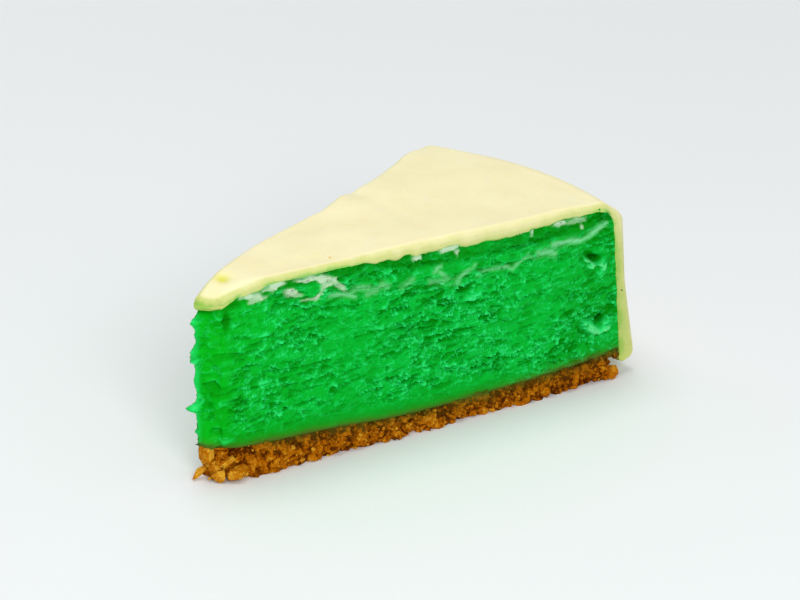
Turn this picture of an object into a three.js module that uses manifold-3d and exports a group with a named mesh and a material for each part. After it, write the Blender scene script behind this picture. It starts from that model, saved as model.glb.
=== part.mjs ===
// Key lime pie slice: a wedge of green lime filling on a crumb base, with a thin cream seam under its
// top layer, iced in cream over the top and down the round outer side. Millimetres, +Z up. The slice
// stands on z = 0, its blunt tip towards -X and its iced rim towards +X.

import * as THREE from "three";
import { mergeVertices } from "three/addons/utils/BufferGeometryUtils.js";
import Module from "manifold-3d";

const wasm = await Module();
wasm.setup();

// The wedge: distances are measured from the centre of the pie that the slice was cut from
const WEDGE_ANGLE = THREE.MathUtils.degToRad(28.4);
const TIP_FRONT = 11.8;
const TIP_BACK = 8.4;
const WALL_RADIUS = 118.7;
const WALL_LEAN = THREE.MathUtils.degToRad(6.9);
const RIM_ROUND = 4.6;
const SLICE_MIDDLE = 64.8;

// The layers, from the crumb base up
const BASE_HEIGHT = 5.2;
const BASE_LOW_RADIUS = 70;
const BASE_END_RISE = 3.4;
const BASE_RISE_REACH = 58;
const BASE_SETBACK = 4.5;
const BASE_TIP_SETBACK = 1.4;
const FILLING_HEIGHT = 43.2;
const TIP_DROOP = 2.6;
const TIP_DROOP_LENGTH = 12;
const SEAM_HEIGHT = 36.3;
const SEAM_THICKNESS = 1.1;
const SEAM_TIP_RISE = 4.2;
const SEAM_TIP_REACH = 70;
const SEAM_RIM_RISE = 4;
const SEAM_RIM_REACH = 98;
const SEAM_WAVE = 0.7;
const SEAM_WAVE_LENGTH = 9;
const GAP = 0.3;

// The icing: a sheet over the top that turns over the rim and hangs down the wall as a coat
const ICING_THICKNESS = 2.1;
const COAT_THICKNESS = 2;
const LIP_HEIGHT = 3.2;
const LIP_WAVE = 0.5;
const LIP_ROUND = 2.6;
const LIP_SWELL = 2.1;
const LIP_SWELL_REACH = 29;
const GROOVE_RADIUS = 69;
const GROOVE_SKEW = 3.7;
const GROOVE_DEPTH = 0.7;
const GROOVE_WIDTH = 2.6;
const RIPPLE_DEPTH = 0.3;
const RIPPLE_LENGTH = 17;

// The knife's drag marks: low torn ledges along both cuts, smoother at the foot, pits torn out of the
// front cut, and coarser scallops on the broken tip
const LEDGE_DEPTH = 0.75;
const LEDGE_LENGTH = 7;
const LEDGE_PITCH = 3.4;
const LEDGE_SWAY = 0.7;
const SWAY_LENGTH = 23;
const SWAY_PITCH = 9;
const FOOT_HEIGHT = 5;
const FOOT_SHARE = 0.25;
const SCALLOP_DEPTH = 0.9;
const SCALLOP_PITCH = 4.2;
const TORN_PITS = [
  { r: 108, z: 31.5, length: 3.6, height: 2.2, depth: 1.5 },
  { r: 112.3, z: 16.4, length: 3.2, height: 2, depth: 1.4 },
  { r: 72.8, z: 31, length: 3.4, height: 2, depth: 0.9 },
];

// The crumbs that stand out of the base, with a broken cluster at the tip
const CRUMB_RELIEF = 0.7;
const CRUMB_LENGTH = 4;
const CRUMB_SPACING = 3.7;
const CRUMB_SCATTER = [0.7, 1.3];
const CRUMB_RADIUS = [1.2, 2.1];
const CRUMB_FLATNESS = [0.6, 1];
const CRUMB_SINK = 0.45;
const TIP_CRUMBS = 7;
const TIP_CRUMB_RADIUS = [1.7, 2.7];
const TIP_CRUMB_SPREAD = 5;
const TIP_CRUMB_TURN = [0.2, 1.3];

// Noise: places to the radian across the slice, and where its random heights start
const ACROSS_PLACES = 6;
const LIP_PLACES = 12;
const SEED = 27;

// Grid steps along the layers, across them and up them. The coat's steps crowd towards its lip.
const STEPS_ALONG = 44;
const STEPS_ACROSS = 5;
const FILLING_STEPS_UP = 15;
const TOP_STEPS_UP = 4;
const BASE_STEPS_UP = 4;
const ICING_STEPS = { top: 40, round: 6, wall: 10, across: 8, thick: 2 };
const LIP_CROWDING = 1.7;

const { lerp, smoothstep, clamp } = THREE.MathUtils;
const HALF_ANGLE = WEDGE_ANGLE / 2;
const BASE_RIM = WALL_RADIUS - BASE_SETBACK;
const ROUND_HEIGHT = FILLING_HEIGHT - RIM_ROUND;
const WALL_STRAIGHT_TOP = ROUND_HEIGHT + RIM_ROUND * Math.sin(WALL_LEAN);
const ROUND_RADIUS = wallRadius(WALL_STRAIGHT_TOP) - RIM_ROUND * Math.cos(WALL_LEAN);

// A random height between -1 and 1 at each whole-number place
function heightAt(i, j, seed) {
  let mixed = Math.imul(i, 374761393) ^ Math.imul(j, 668265263) ^ Math.imul(seed, 1442695041);
  mixed = Math.imul(mixed ^ (mixed >>> 13), 1274126177);
  mixed = Math.imul(mixed ^ (mixed >>> 15), 668265263);
  return ((mixed ^ (mixed >>> 16)) >>> 0) / 2147483647.5 - 1;
}

// The same heights, blended smoothly between the whole-number places
function noise(x, y, seed) {
  const i = Math.floor(x);
  const j = Math.floor(y);
  const fx = smoothstep(x - i, 0, 1);
  const fy = smoothstep(y - j, 0, 1);
  const near = lerp(heightAt(i, j, seed), heightAt(i + 1, j, seed), fx);
  const far = lerp(heightAt(i, j + 1, seed), heightAt(i + 1, j + 1, seed), fx);
  return lerp(near, far, fy);
}

// Seeded random draws, the same on every run
function randomSource(seed) {
  let state = seed;
  return (low, high) => {
    state = (Math.imul(state, 1664525) + 1013904223) >>> 0;
    return low + (high - low) * (state / 4294967296);
  };
}

// Distance from the pie's centre to the straight broken tip, in the direction of an angle
function tipRadius(angle) {
  const reach = TIP_FRONT * Math.sin(HALF_ANGLE + angle) + TIP_BACK * Math.sin(HALF_ANGLE - angle);
  return (TIP_FRONT * TIP_BACK * Math.sin(WEDGE_ANGLE)) / reach;
}

// The leaning outer wall of the filling, as if it ran straight up from the floor
function wallRadius(z) {
  return WALL_RADIUS - z * Math.tan(WALL_LEAN);
}

// The outer wall of the filling, rounded over at the rim
function fillingRim(z) {
  if (z < WALL_STRAIGHT_TOP) return wallRadius(z);
  const rise = clamp(z - ROUND_HEIGHT, 0, RIM_ROUND);
  return ROUND_RADIUS + Math.sqrt(RIM_ROUND ** 2 - rise ** 2);
}

// Heights of the layers' meeting surfaces, at a distance r from the pie's centre and an angle. The base
// was pressed thinnest half way out.
function baseTop(r) {
  return BASE_HEIGHT + BASE_END_RISE * ((r - BASE_LOW_RADIUS) / BASE_RISE_REACH) ** 2;
}

function tipDroop(r, angle) {
  const clear = clamp((r - tipRadius(angle)) / TIP_DROOP_LENGTH, 0, 1);
  return TIP_DROOP * (1 - clear) ** 2;
}

function fillingTop(r, angle) {
  return FILLING_HEIGHT - tipDroop(r, angle);
}

function seamMiddle(r, angle) {
  const tipRise = SEAM_TIP_RISE * (1 - smoothstep(r, TIP_FRONT, SEAM_TIP_REACH));
  const rimRise = SEAM_RIM_RISE * smoothstep(r, SEAM_RIM_REACH, ROUND_RADIUS + RIM_ROUND);
  const wave = SEAM_WAVE * noise(r / SEAM_WAVE_LENGTH, angle * ACROSS_PLACES, SEED);
  return SEAM_HEIGHT + tipRise + rimRise + wave - tipDroop(r, angle);
}

function seamFloor(r, angle) {
  return seamMiddle(r, angle) - SEAM_THICKNESS / 2;
}

function seamCeiling(r, angle) {
  return seamMiddle(r, angle) + SEAM_THICKNESS / 2;
}

// How deep the knife tore a cut at one place: the pits are on the front cut alone
function pitDepth(r, z, side) {
  if (side !== 0) return 0;
  return TORN_PITS.reduce((sum, pit) => {
    const away = ((r - pit.r) / pit.length) ** 2 + ((z - pit.z) / pit.height) ** 2;
    return sum + pit.depth * Math.exp(-away);
  }, 0);
}

// How far the knife dragged the filling out of a cut: torn ledges over a smoother foot
function ledgeRelief(r, z, side) {
  const sway = LEDGE_SWAY * noise(r / SWAY_LENGTH, z / SWAY_PITCH, SEED + side);
  const ledges = noise(r / LEDGE_LENGTH, z / LEDGE_PITCH + sway, SEED + 2 + side);
  const rough = lerp(FOOT_SHARE, 1, smoothstep(z, baseTop(r), baseTop(r) + FOOT_HEIGHT));
  return LEDGE_DEPTH * ledges * rough - pitDepth(r, z, side);
}

function scallopRelief(angle, z) {
  return SCALLOP_DEPTH * noise(angle * ACROSS_PLACES, z / SCALLOP_PITCH, SEED + 9);
}

// How far the base's sides swell and sink with the crumbs that they broke along
function crumbRelief(r, z, side) {
  const bulge = Math.sin(Math.PI * clamp(z / baseTop(r), 0, 1));
  return CRUMB_RELIEF * (noise(r / CRUMB_LENGTH, z / CRUMB_LENGTH, SEED + 20 + side) + bulge);
}

function pointAt(r, angle, z) {
  return new THREE.Vector3(r * Math.cos(angle), r * Math.sin(angle), z);
}

// A grid box whose every corner is moved to a place worked out from its share of the way along the
// slice, across it and up it
function bentBox(along, across, up, placeOf) {
  const box = new THREE.BoxGeometry(1, 1, 1, along, across, up);
  box.deleteAttribute("normal");
  box.deleteAttribute("uv");
  const corners = box.attributes.position;
  for (let n = 0; n < corners.count; n += 1) {
    const u = Math.round((corners.getX(n) + 0.5) * along) / along;
    const v = Math.round((corners.getY(n) + 0.5) * across) / across;
    const w = Math.round((corners.getZ(n) + 0.5) * up) / up;
    corners.setXYZ(n, ...placeOf(u, v, w).toArray());
  }
  return mergeVertices(box);
}

// One layer of the wedge between two height functions, with its own rim and relief
function layerGeometry({ stepsUp, floorAt, ceilingAt, rimAt, cutRelief, tipRelief }) {
  return bentBox(STEPS_ALONG, STEPS_ACROSS, stepsUp, (u, v, w) => {
    const angle = lerp(-HALF_ANGLE, HALF_ANGLE, v);
    const nominal = lerp(tipRadius(angle), WALL_RADIUS, u);
    const z = lerp(floorAt(nominal, angle), ceilingAt(nominal, angle), w);
    const r = lerp(tipRadius(angle), rimAt(z), u);
    const place = pointAt(r, angle, z);
    const outward = pointAt(1, angle, 0);
    const sideways = pointAt(1, angle + Math.PI / 2, 0);
    if (v === 0) place.addScaledVector(sideways, -cutRelief(r, z, 0));
    if (v === 1) place.addScaledVector(sideways, cutRelief(r, z, 1));
    if (u === 0) place.addScaledVector(outward, -tipRelief(angle, z));
    return place;
  });
}

// Joining: a closed grid becomes a solid, and a joined solid becomes a grid again
function solidOf(geometry) {
  const vertProperties = new Float32Array(geometry.attributes.position.array);
  const triVerts = new Uint32Array(geometry.index.array);
  return new wasm.Manifold(new wasm.Mesh({ numProp: 3, vertProperties, triVerts }));
}

function geometryOf(solid) {
  const { vertProperties, triVerts } = solid.getMesh();
  const geometry = new THREE.BufferGeometry();
  geometry.setAttribute("position", new THREE.BufferAttribute(vertProperties, 3));
  geometry.setIndex(new THREE.BufferAttribute(triVerts, 1));
  return geometry;
}

// One angular crumb of a drawn shape and turn, kept between the floor and the filling
function crumbGeometry(random, radius, r, angle, z) {
  const crumb = new THREE.IcosahedronGeometry(radius, 0);
  crumb.deleteAttribute("normal");
  crumb.deleteAttribute("uv");
  crumb.scale(1, random(...CRUMB_FLATNESS), random(...CRUMB_FLATNESS));
  crumb.rotateX(random(0, Math.PI)).rotateZ(random(0, Math.PI));
  const middle = pointAt(r, angle, clamp(z, radius, baseTop(r) - GAP - radius));
  crumb.translate(...middle.toArray());
  return mergeVertices(crumb);
}

// The crumb base: a rough slab with crumbs fused along both cuts, round the rim and over the tip
function baseGeometry() {
  const random = randomSource(SEED);
  let base = solidOf(
    layerGeometry({
      stepsUp: BASE_STEPS_UP,
      floorAt: () => 0,
      ceilingAt: (r) => baseTop(r) - GAP,
      rimAt: (z) => BASE_RIM + crumbRelief(0, z, 2),
      cutRelief: crumbRelief,
      tipRelief: (angle, z) => crumbRelief(angle * CRUMB_LENGTH, z, 3) - BASE_TIP_SETBACK,
    }),
  );
  const addCrumb = (radius, r, angle, z) => {
    base = base.add(solidOf(crumbGeometry(random, radius, r, angle, z)));
  };
  const nextStep = () => CRUMB_SPACING * random(...CRUMB_SCATTER);
  for (const side of [-1, 1]) {
    for (let r = TIP_FRONT + CRUMB_SPACING; r < BASE_RIM; r += nextStep()) {
      const radius = random(...CRUMB_RADIUS);
      const sunk = HALF_ANGLE - (CRUMB_SINK * radius - CRUMB_RELIEF) / r;
      addCrumb(radius, r, side * sunk, random(0, baseTop(r)));
    }
  }
  for (let angle = -HALF_ANGLE; angle < HALF_ANGLE; angle += nextStep() / BASE_RIM) {
    addCrumb(random(...CRUMB_RADIUS), BASE_RIM, angle, 0);
  }
  for (let n = 0; n < TIP_CRUMBS; n += 1) {
    const angle = -HALF_ANGLE * random(...TIP_CRUMB_TURN);
    const r = tipRadius(angle) + BASE_TIP_SETBACK + random(0, TIP_CRUMB_SPREAD);
    addCrumb(random(...TIP_CRUMB_RADIUS), r, angle, random(0, baseTop(r)));
  }
  return geometryOf(base);
}

// The lime filling below the seam, the seam itself and the lime layer above it
const cutFilling = { rimAt: fillingRim, cutRelief: ledgeRelief, tipRelief: scallopRelief };

function fillingGeometry() {
  return layerGeometry({
    ...cutFilling,
    stepsUp: FILLING_STEPS_UP,
    floorAt: baseTop,
    ceilingAt: (r, angle) => seamFloor(r, angle) - GAP / 2,
  });
}

function seamGeometry() {
  return layerGeometry({
    ...cutFilling,
    stepsUp: 1,
    floorAt: (r, angle) => seamFloor(r, angle) + GAP / 2,
    ceilingAt: (r, angle) => seamCeiling(r, angle) - GAP / 2,
  });
}

function topLayerGeometry() {
  return layerGeometry({
    ...cutFilling,
    stepsUp: TOP_STEPS_UP,
    floorAt: (r, angle) => seamCeiling(r, angle) + GAP / 2,
    ceilingAt: fillingTop,
  });
}

// The icing's thickness over the top: a groove where the spatula turned, and a faint ripple
function icingThickness(r, angle) {
  const groove = GROOVE_RADIUS + (GROOVE_SKEW * angle) / HALF_ANGLE;
  const dip = GROOVE_DEPTH * Math.exp(-(((r - groove) / GROOVE_WIDTH) ** 2));
  const ripple = RIPPLE_DEPTH * noise(r / RIPPLE_LENGTH, angle * ACROSS_PLACES, SEED + 30);
  return ICING_THICKNESS - dip + ripple;
}

// Places on the underside of the icing, each with the direction and the amount of its thickness: on
// the top, round the rim, and down the wall to a rolled lip
function icingOverTop(share, angle) {
  const r = lerp(tipRadius(angle), ROUND_RADIUS, share);
  return { r, z: fillingTop(r, angle) + GAP, out: 0, up: 1, thickness: icingThickness(r, angle) };
}

function icingRoundRim(share, angle) {
  const turn = lerp(Math.PI / 2, WALL_LEAN, share);
  const out = Math.cos(turn);
  const up = Math.sin(turn);
  const radius = RIM_ROUND + GAP;
  const thickness = lerp(icingThickness(ROUND_RADIUS, angle), COAT_THICKNESS, share);
  return { r: ROUND_RADIUS + radius * out, z: ROUND_HEIGHT + radius * up, out, up, thickness };
}

function icingDownWall(share, angle) {
  const top = icingRoundRim(1, angle);
  const lip = LIP_HEIGHT + LIP_WAVE * (1 + noise(angle * LIP_PLACES, 0, SEED + 31));
  const z = lerp(top.z, lip, 1 - (1 - share) ** LIP_CROWDING);
  const r = top.r + (top.z - z) * Math.tan(WALL_LEAN);
  const swell = LIP_SWELL * (1 - clamp((z - lip) / LIP_SWELL_REACH, 0, 1));
  const under = 1 - clamp((z - lip) / LIP_ROUND, 0, 1);
  const rolled = LIP_ROUND * (1 - Math.sqrt(1 - under ** 2));
  return { ...top, r, z, thickness: COAT_THICKNESS + swell - rolled };
}

function icingGeometry() {
  const { top, round, wall, across, thick } = ICING_STEPS;
  const along = top + round + wall;
  return bentBox(along, across, thick, (u, v, w) => {
    const angle = lerp(-HALF_ANGLE, HALF_ANGLE, v);
    const step = u * along;
    let under = icingOverTop(Math.min(step / top, 1), angle);
    if (step > top) under = icingRoundRim(Math.min((step - top) / round, 1), angle);
    if (step > top + round) under = icingDownWall((step - top - round) / wall, angle);
    const lift = under.thickness * w;
    return pointAt(under.r + under.out * lift, angle, under.z + under.up * lift);
  });
}

function part(name, geometry, color, roughness) {
  geometry.computeVertexNormals();
  const material = new THREE.MeshStandardMaterial({ color, roughness, metalness: 0 });
  const mesh = new THREE.Mesh(geometry, material);
  mesh.name = name;
  return mesh;
}

const slice = new THREE.Group();
slice.position.x = -SLICE_MIDDLE;
slice.add(part("crumb_base", baseGeometry(), "#a56a1c", 0.9));
slice.add(part("lime_filling", fillingGeometry(), "#0eae35", 0.45));
slice.add(part("cream_seam", seamGeometry(), "#8fcf94", 0.45));
slice.add(part("lime_top_layer", topLayerGeometry(), "#10a022", 0.5));
slice.add(part("icing_coat", icingGeometry(), "#f6efc4", 0.4));

export default slice;
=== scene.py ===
from math import cos, pi, radians, sin, sqrt, tan

import bpy
import numpy as np
from mathutils import Matrix, Vector


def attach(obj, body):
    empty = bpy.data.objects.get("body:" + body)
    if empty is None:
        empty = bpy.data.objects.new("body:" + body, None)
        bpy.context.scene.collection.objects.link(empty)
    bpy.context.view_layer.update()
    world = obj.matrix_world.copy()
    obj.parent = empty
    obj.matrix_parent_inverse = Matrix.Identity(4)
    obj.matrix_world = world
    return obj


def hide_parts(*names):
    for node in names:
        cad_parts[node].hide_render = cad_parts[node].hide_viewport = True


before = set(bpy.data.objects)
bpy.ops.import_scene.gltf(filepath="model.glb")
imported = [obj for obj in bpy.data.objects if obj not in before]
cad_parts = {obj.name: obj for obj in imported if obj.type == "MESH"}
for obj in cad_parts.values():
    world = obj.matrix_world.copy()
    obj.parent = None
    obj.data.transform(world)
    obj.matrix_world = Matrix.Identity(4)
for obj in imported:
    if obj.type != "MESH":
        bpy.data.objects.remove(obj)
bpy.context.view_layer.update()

# The slice stands on its crumb base. Lengths are in millimetres and heights start at the floor.
# Places are given about the middle of the whole round: a distance out from it, an angle and a height.
MM = 0.001

# The wedge and its layers, close to those of the solids
HALF_ANGLE = radians(28.4) / 2
TIP_FRONT = 11.8
TIP_BACK = 8.4
WALL_RADIUS = 118.7
WALL_LEAN = radians(6.9)
RIM_ROUND = 4.6
SLICE_MIDDLE = 64.8
BASE_HEIGHT = 5.2
BASE_LOW_RADIUS = 70
BASE_END_RISE = 3.4
BASE_RISE_REACH = 58
BASE_SWELL = 0.75
BASE_SWELL_RADIUS = 37
BASE_SWELL_REACH = 14
BASE_SETBACK = 4.5
BASE_TIP_SETBACK = 1.4
FILLING_HEIGHT = 43.2
TIP_DROOP = 2.6
TIP_DROOP_LENGTH = 12
SEAM_HEIGHT = 35.8
SEAM_TIP_RISE = 4.4
SEAM_TIP_REACH = 70
SEAM_RIM_RISE = 4.5
SEAM_RIM_START = 92
SEAM_RIM_REACH = 22
SEAM_RIM_CURVE = 1.5
SEAM_WAVE = 0.7
SEAM_WAVE_LENGTH = 9

# The icing, thicker on the round side and lower at its lip than in the solids
ICING_THICKNESS = 2.1
COAT_THICKNESS = 3
LIP_HEIGHT = 2.7
LIP_WAVE = 0.5
LIP_ROUND = 2
LIP_SWELL = 1.8
LIP_SWELL_REACH = 20
LIP_CROWDING = 1.7
GROOVE_RADIUS = 69
GROOVE_SKEW = 3.7
GROOVE_DEPTH = 0.7
GROOVE_WIDTH = 2.6
GROOVE_FRONT_SHARE = 0.35
GROOVE_BACK_START = 0.4
RIPPLE_DEPTH = 0.3
RIPPLE_LENGTH = 17

# The knife's drag marks, as in the solids
LEDGE_DEPTH = 0.75
LEDGE_LENGTH = 7
LEDGE_PITCH = 3.4
LEDGE_SWAY = 0.7
SWAY_LENGTH = 23
SWAY_PITCH = 9
FOOT_HEIGHT = 5
FOOT_SHARE = 0.25
SCALLOP_DEPTH = 0.9
SCALLOP_PITCH = 4.2
CRUMB_RELIEF = 0.7
CRUMB_LENGTH = 4
ACROSS_PLACES = 6
LIP_PLACES = 12
SEED = 27

BASE_RIM = WALL_RADIUS - BASE_SETBACK
ROUND_HEIGHT = FILLING_HEIGHT - RIM_ROUND
WALL_STRAIGHT_TOP = ROUND_HEIGHT + RIM_ROUND * sin(WALL_LEAN)
ROUND_RADIUS = WALL_RADIUS - WALL_STRAIGHT_TOP * tan(WALL_LEAN) - RIM_ROUND * cos(WALL_LEAN)
COAT_OUTER = ROUND_RADIUS + RIM_ROUND + COAT_THICKNESS

# The camera of the photograph, turned about the point that it looks at
CAMERA_AIM = Vector((6.3, 1.9, 22.9)) * MM
CAMERA_DISTANCE = 530 * MM
CAMERA_AZIMUTH = radians(-47.86)
CAMERA_ELEVATION = radians(23.7)
CAMERA_ROLL = radians(1.47)
CAMERA_LENS = 105


# Numbers

def named_rows(names, *rows):
    """One dictionary for each row, with its values under their names."""
    return [dict(zip(names.split(), row)) for row in rows]


def lerp(a, b, share):
    return a + (b - a) * share


def smoothstep(x, low, high):
    share = np.clip((x - low) / (high - low), 0, 1)
    return share * share * (3 - 2 * share)


def height_at(i, j, seed):
    """A random height between -1 and 1 at each whole-number place, the same one as in the solids."""
    word = 0xFFFFFFFF
    mixed = (i * 374761393 ^ j * 668265263 ^ seed * 1442695041) & word
    mixed = (mixed ^ mixed >> 13) * 1274126177 & word
    mixed = (mixed ^ mixed >> 15) * 668265263 & word
    return (mixed ^ mixed >> 16) / 2147483647.5 - 1


def noise(x, y, seed):
    """Random heights, blended smoothly between the whole-number places."""
    x, y = np.broadcast_arrays(np.asarray(x, float), np.asarray(y, float))
    i = np.floor(x).astype(np.int64)
    j = np.floor(y).astype(np.int64)
    fx = smoothstep(x - i, 0, 1)
    fy = smoothstep(y - j, 0, 1)
    near = lerp(height_at(i, j, seed), height_at(i + 1, j, seed), fx)
    far = lerp(height_at(i, j + 1, seed), height_at(i + 1, j + 1, seed), fx)
    return lerp(near, far, fy)


def layered(along, up, seed, layers):
    """Noise at several sizes, added up. Each layer has its own seed, an amount, a length and a height."""
    total = 0
    for own_seed, amount, length, height in layers:
        total = total + amount * noise(along / length, up / height, seed + own_seed)
    return total


FAR_AWAY = 9.0
CELL_SPREAD = 0.45


def cells(x, y, seed):
    """Splits a surface into random cells. Gives how far each place is from the border of its cell, a
    random height of that cell, and how far above the cell's middle the place is."""
    x, y = np.broadcast_arrays(np.asarray(x, float), np.asarray(y, float))
    i = np.floor(x).astype(np.int64)
    j = np.floor(y).astype(np.int64)
    nearest = np.full(x.shape, FAR_AWAY)
    second = np.full(x.shape, FAR_AWAY)
    own = np.zeros(x.shape)
    above = np.zeros(x.shape)
    for di in (-1, 0, 1):
        for dj in (-1, 0, 1):
            middle_x = i + di + 0.5 + CELL_SPREAD * height_at(i + di, j + dj, seed)
            middle_y = j + dj + 0.5 + CELL_SPREAD * height_at(i + di, j + dj, seed + 1)
            away = np.hypot(x - middle_x, y - middle_y)
            closer = away < nearest
            second = np.where(closer, nearest, np.minimum(second, away))
            own = np.where(closer, height_at(i + di, j + dj, seed + 2), own)
            above = np.where(closer, y - middle_y, above)
            nearest = np.minimum(nearest, away)
    return second - nearest, own, above


# The wedge's own surfaces

def tip_radius(angle):
    reach = TIP_FRONT * np.sin(HALF_ANGLE + angle) + TIP_BACK * np.sin(HALF_ANGLE - angle)
    return TIP_FRONT * TIP_BACK * sin(2 * HALF_ANGLE) / reach


def base_top(r):
    swell = BASE_SWELL * np.exp(-(((r - BASE_SWELL_RADIUS) / BASE_SWELL_REACH) ** 2))
    return BASE_HEIGHT + BASE_END_RISE * ((r - BASE_LOW_RADIUS) / BASE_RISE_REACH) ** 2 + swell


def filling_rim(z):
    straight = WALL_RADIUS - z * tan(WALL_LEAN)
    rise = np.clip(z - ROUND_HEIGHT, 0, RIM_ROUND)
    rounded = ROUND_RADIUS + np.sqrt(RIM_ROUND**2 - rise**2)
    return np.where(z < WALL_STRAIGHT_TOP, straight, rounded)


def tip_droop(r, angle):
    clear = np.clip((r - tip_radius(angle)) / TIP_DROOP_LENGTH, 0, 1)
    return TIP_DROOP * (1 - clear) ** 2


def filling_top(r, angle):
    return FILLING_HEIGHT - tip_droop(r, angle)


def seam_middle(r, angle):
    tip_rise = SEAM_TIP_RISE * (1 - smoothstep(r, TIP_FRONT, SEAM_TIP_REACH))
    rim_rise = SEAM_RIM_RISE * np.clip((r - SEAM_RIM_START) / SEAM_RIM_REACH, 0, 1) ** SEAM_RIM_CURVE
    wave = SEAM_WAVE * noise(r / SEAM_WAVE_LENGTH, angle * ACROSS_PLACES, SEED)
    return SEAM_HEIGHT + tip_rise + rim_rise + wave - tip_droop(r, angle)


TORN_PITS = named_rows(
    "r z length height depth",
    (108, 31.5, 3.6, 2.2, 1.5),
    (112.3, 16.4, 3.2, 2, 1.4),
    (72.8, 31, 3.4, 2, 0.9),
)


def oval(r, z, spot):
    """How far each place of a cut is from the middle of an oval spot, where 1 is at its border."""
    tilt = spot.get("tilt", 0)
    out = r - spot["r"]
    up = z - spot["z"]
    along = out * cos(tilt) + up * sin(tilt)
    across = up * cos(tilt) - out * sin(tilt)
    return np.hypot(along / spot["length"], across / spot["height"])


def pit_depth(r, z, pits):
    return sum(pit["depth"] * np.exp(-oval(r, z, pit) ** 2) for pit in pits)


def ledge_relief(r, z, side):
    sway = LEDGE_SWAY * noise(r / SWAY_LENGTH, z / SWAY_PITCH, SEED + side)
    ledges = noise(r / LEDGE_LENGTH, z / LEDGE_PITCH + sway, SEED + 2 + side)
    rough = lerp(FOOT_SHARE, 1, smoothstep(z, base_top(r), base_top(r) + FOOT_HEIGHT))
    pits = pit_depth(r, z, TORN_PITS) if side == 0 else 0
    return LEDGE_DEPTH * ledges * rough - pits


def scallop_relief(angle, z):
    return SCALLOP_DEPTH * noise(angle * ACROSS_PLACES, z / SCALLOP_PITCH, SEED + 9)


def crumb_relief(r, z, side):
    bulge = np.sin(pi * np.clip(z / base_top(r), 0, 1))
    return CRUMB_RELIEF * (noise(r / CRUMB_LENGTH, z / CRUMB_LENGTH, SEED + 20 + side) + bulge)


def place(r, angle, z):
    """Corners in the slice's own frame."""
    r, angle, z = np.broadcast_arrays(r, angle, z)
    return np.stack([r * np.cos(angle) - SLICE_MIDDLE, r * np.sin(angle), z], axis=-1)


# Meshes

def make_piece(name, corners, faces, material, marks, flat_ends=0):
    """A piece from its corners in millimetres, with marks that its material reads at each corner. Its last
    faces, as many as flat_ends says, are flat, so that they don't bend the shading beside them."""
    mesh = bpy.data.meshes.new(name)
    mesh.from_pydata((np.asarray(corners).reshape(-1, 3) * MM).tolist(), [], faces)
    for mark, values in marks.items():
        layer = mesh.attributes.new(mark, "FLOAT", "POINT")
        layer.data.foreach_set("value", np.asarray(values, np.float32).ravel())
    mesh.materials.append(material)
    smooth = np.arange(len(faces)) < len(faces) - flat_ends
    mesh.polygons.foreach_set("use_smooth", smooth)
    mesh.update()
    piece = bpy.data.objects.new(name, mesh)
    bpy.context.scene.collection.objects.link(piece)
    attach(piece, "root")
    return piece


def skin_faces(rows, around):
    """Faces between rows of corners that each run once around."""
    low = np.arange(rows - 1)[:, None] * around
    here = np.arange(around)[None, :]
    after = (here + 1) % around
    faces = [low + here, low + after, low + around + after, low + around + here]
    return np.stack(faces, axis=-1).reshape(-1, 4).tolist()


FRONT, RIM, BACK, TIP = range(4)


class WedgeLoop:
    """Places once around the slice, from the tip's front corner along the front cut, round the rim,
    back along the other cut and across the tip."""

    def __init__(self, cut_steps, rim_steps, tip_steps):
        out = np.linspace(0, 1, cut_steps, endpoint=False)
        turn = np.linspace(-HALF_ANGLE, HALF_ANGLE, rim_steps, endpoint=False)
        across = np.linspace(HALF_ANGLE, -HALF_ANGLE, tip_steps, endpoint=False)
        front = np.full(cut_steps, -HALF_ANGLE)
        steps = [cut_steps, rim_steps, cut_steps, tip_steps]
        self.share = np.concatenate([out, np.ones(rim_steps), 1 - out, np.zeros(tip_steps)])
        self.angle = np.concatenate([front, turn, -front, across])
        self.side = np.repeat([FRONT, RIM, BACK, TIP], steps)
        self.cut_steps = cut_steps
        self.rim_steps = rim_steps
        self.count = len(self.share)
        self.tip = tip_radius(self.angle)

    def cap(self, start, upward):
        """Faces that close the wedge across one row of corners."""
        n = self.cut_steps
        front = np.arange(n + 1)
        back = n + self.rim_steps + n - front
        faces = np.stack([front[:-1], front[1:], back[1:], back[:-1]], axis=-1).tolist()
        faces.append(list(range(n, n + self.rim_steps + 1)))
        faces.append(list(range(2 * n + self.rim_steps, self.count)) + [0])
        if not upward:
            faces = [face[::-1] for face in faces]
        return [[start + corner for corner in face] for face in faces]


CORNER_WEIGHTS = np.array([1, 2, 3, 4, 5, 4, 3, 2, 1]) / 25


def soften_corners(flat):
    """Rounds the slice's upright corners: each place is averaged with its neighbours around the loop."""
    reach = len(CORNER_WEIGHTS) // 2
    steps = range(-reach, reach + 1)
    return sum(weight * np.roll(flat, step, axis=1) for weight, step in zip(CORNER_WEIGHTS, steps))


def outward_of(flat):
    """The level direction that points out of the slice at each place."""
    along = np.roll(flat, -1, axis=1) - np.roll(flat, 1, axis=1)
    out = np.stack([along[..., 1], -along[..., 0]], axis=-1)
    return out / np.linalg.norm(out, axis=-1, keepdims=True)


FRONT_CORNER = 0.9
BACK_CORNER = 5.5
BACK_FOOT_CORNER = 2
BACK_CORNER_HEIGHTS = (24, 40)
BACK_CORNER_FADE = 3


def pulled_in(side_gap, end_gap, radius):
    """Distances in from two edges that meet, changed so that the corner between them is round."""
    beside = np.clip(1 - side_gap / radius, 0, 1)
    behind = np.clip(1 - end_gap / radius, 0, 1)
    near = (beside > 0) & (behind > 0)
    pull = np.maximum(beside, behind) / np.maximum(np.hypot(beside, behind), 1e-6)
    side_gap = np.where(near, radius * (1 - beside * pull), side_gap)
    return side_gap, np.where(near, radius * (1 - behind * pull), end_gap)


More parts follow.
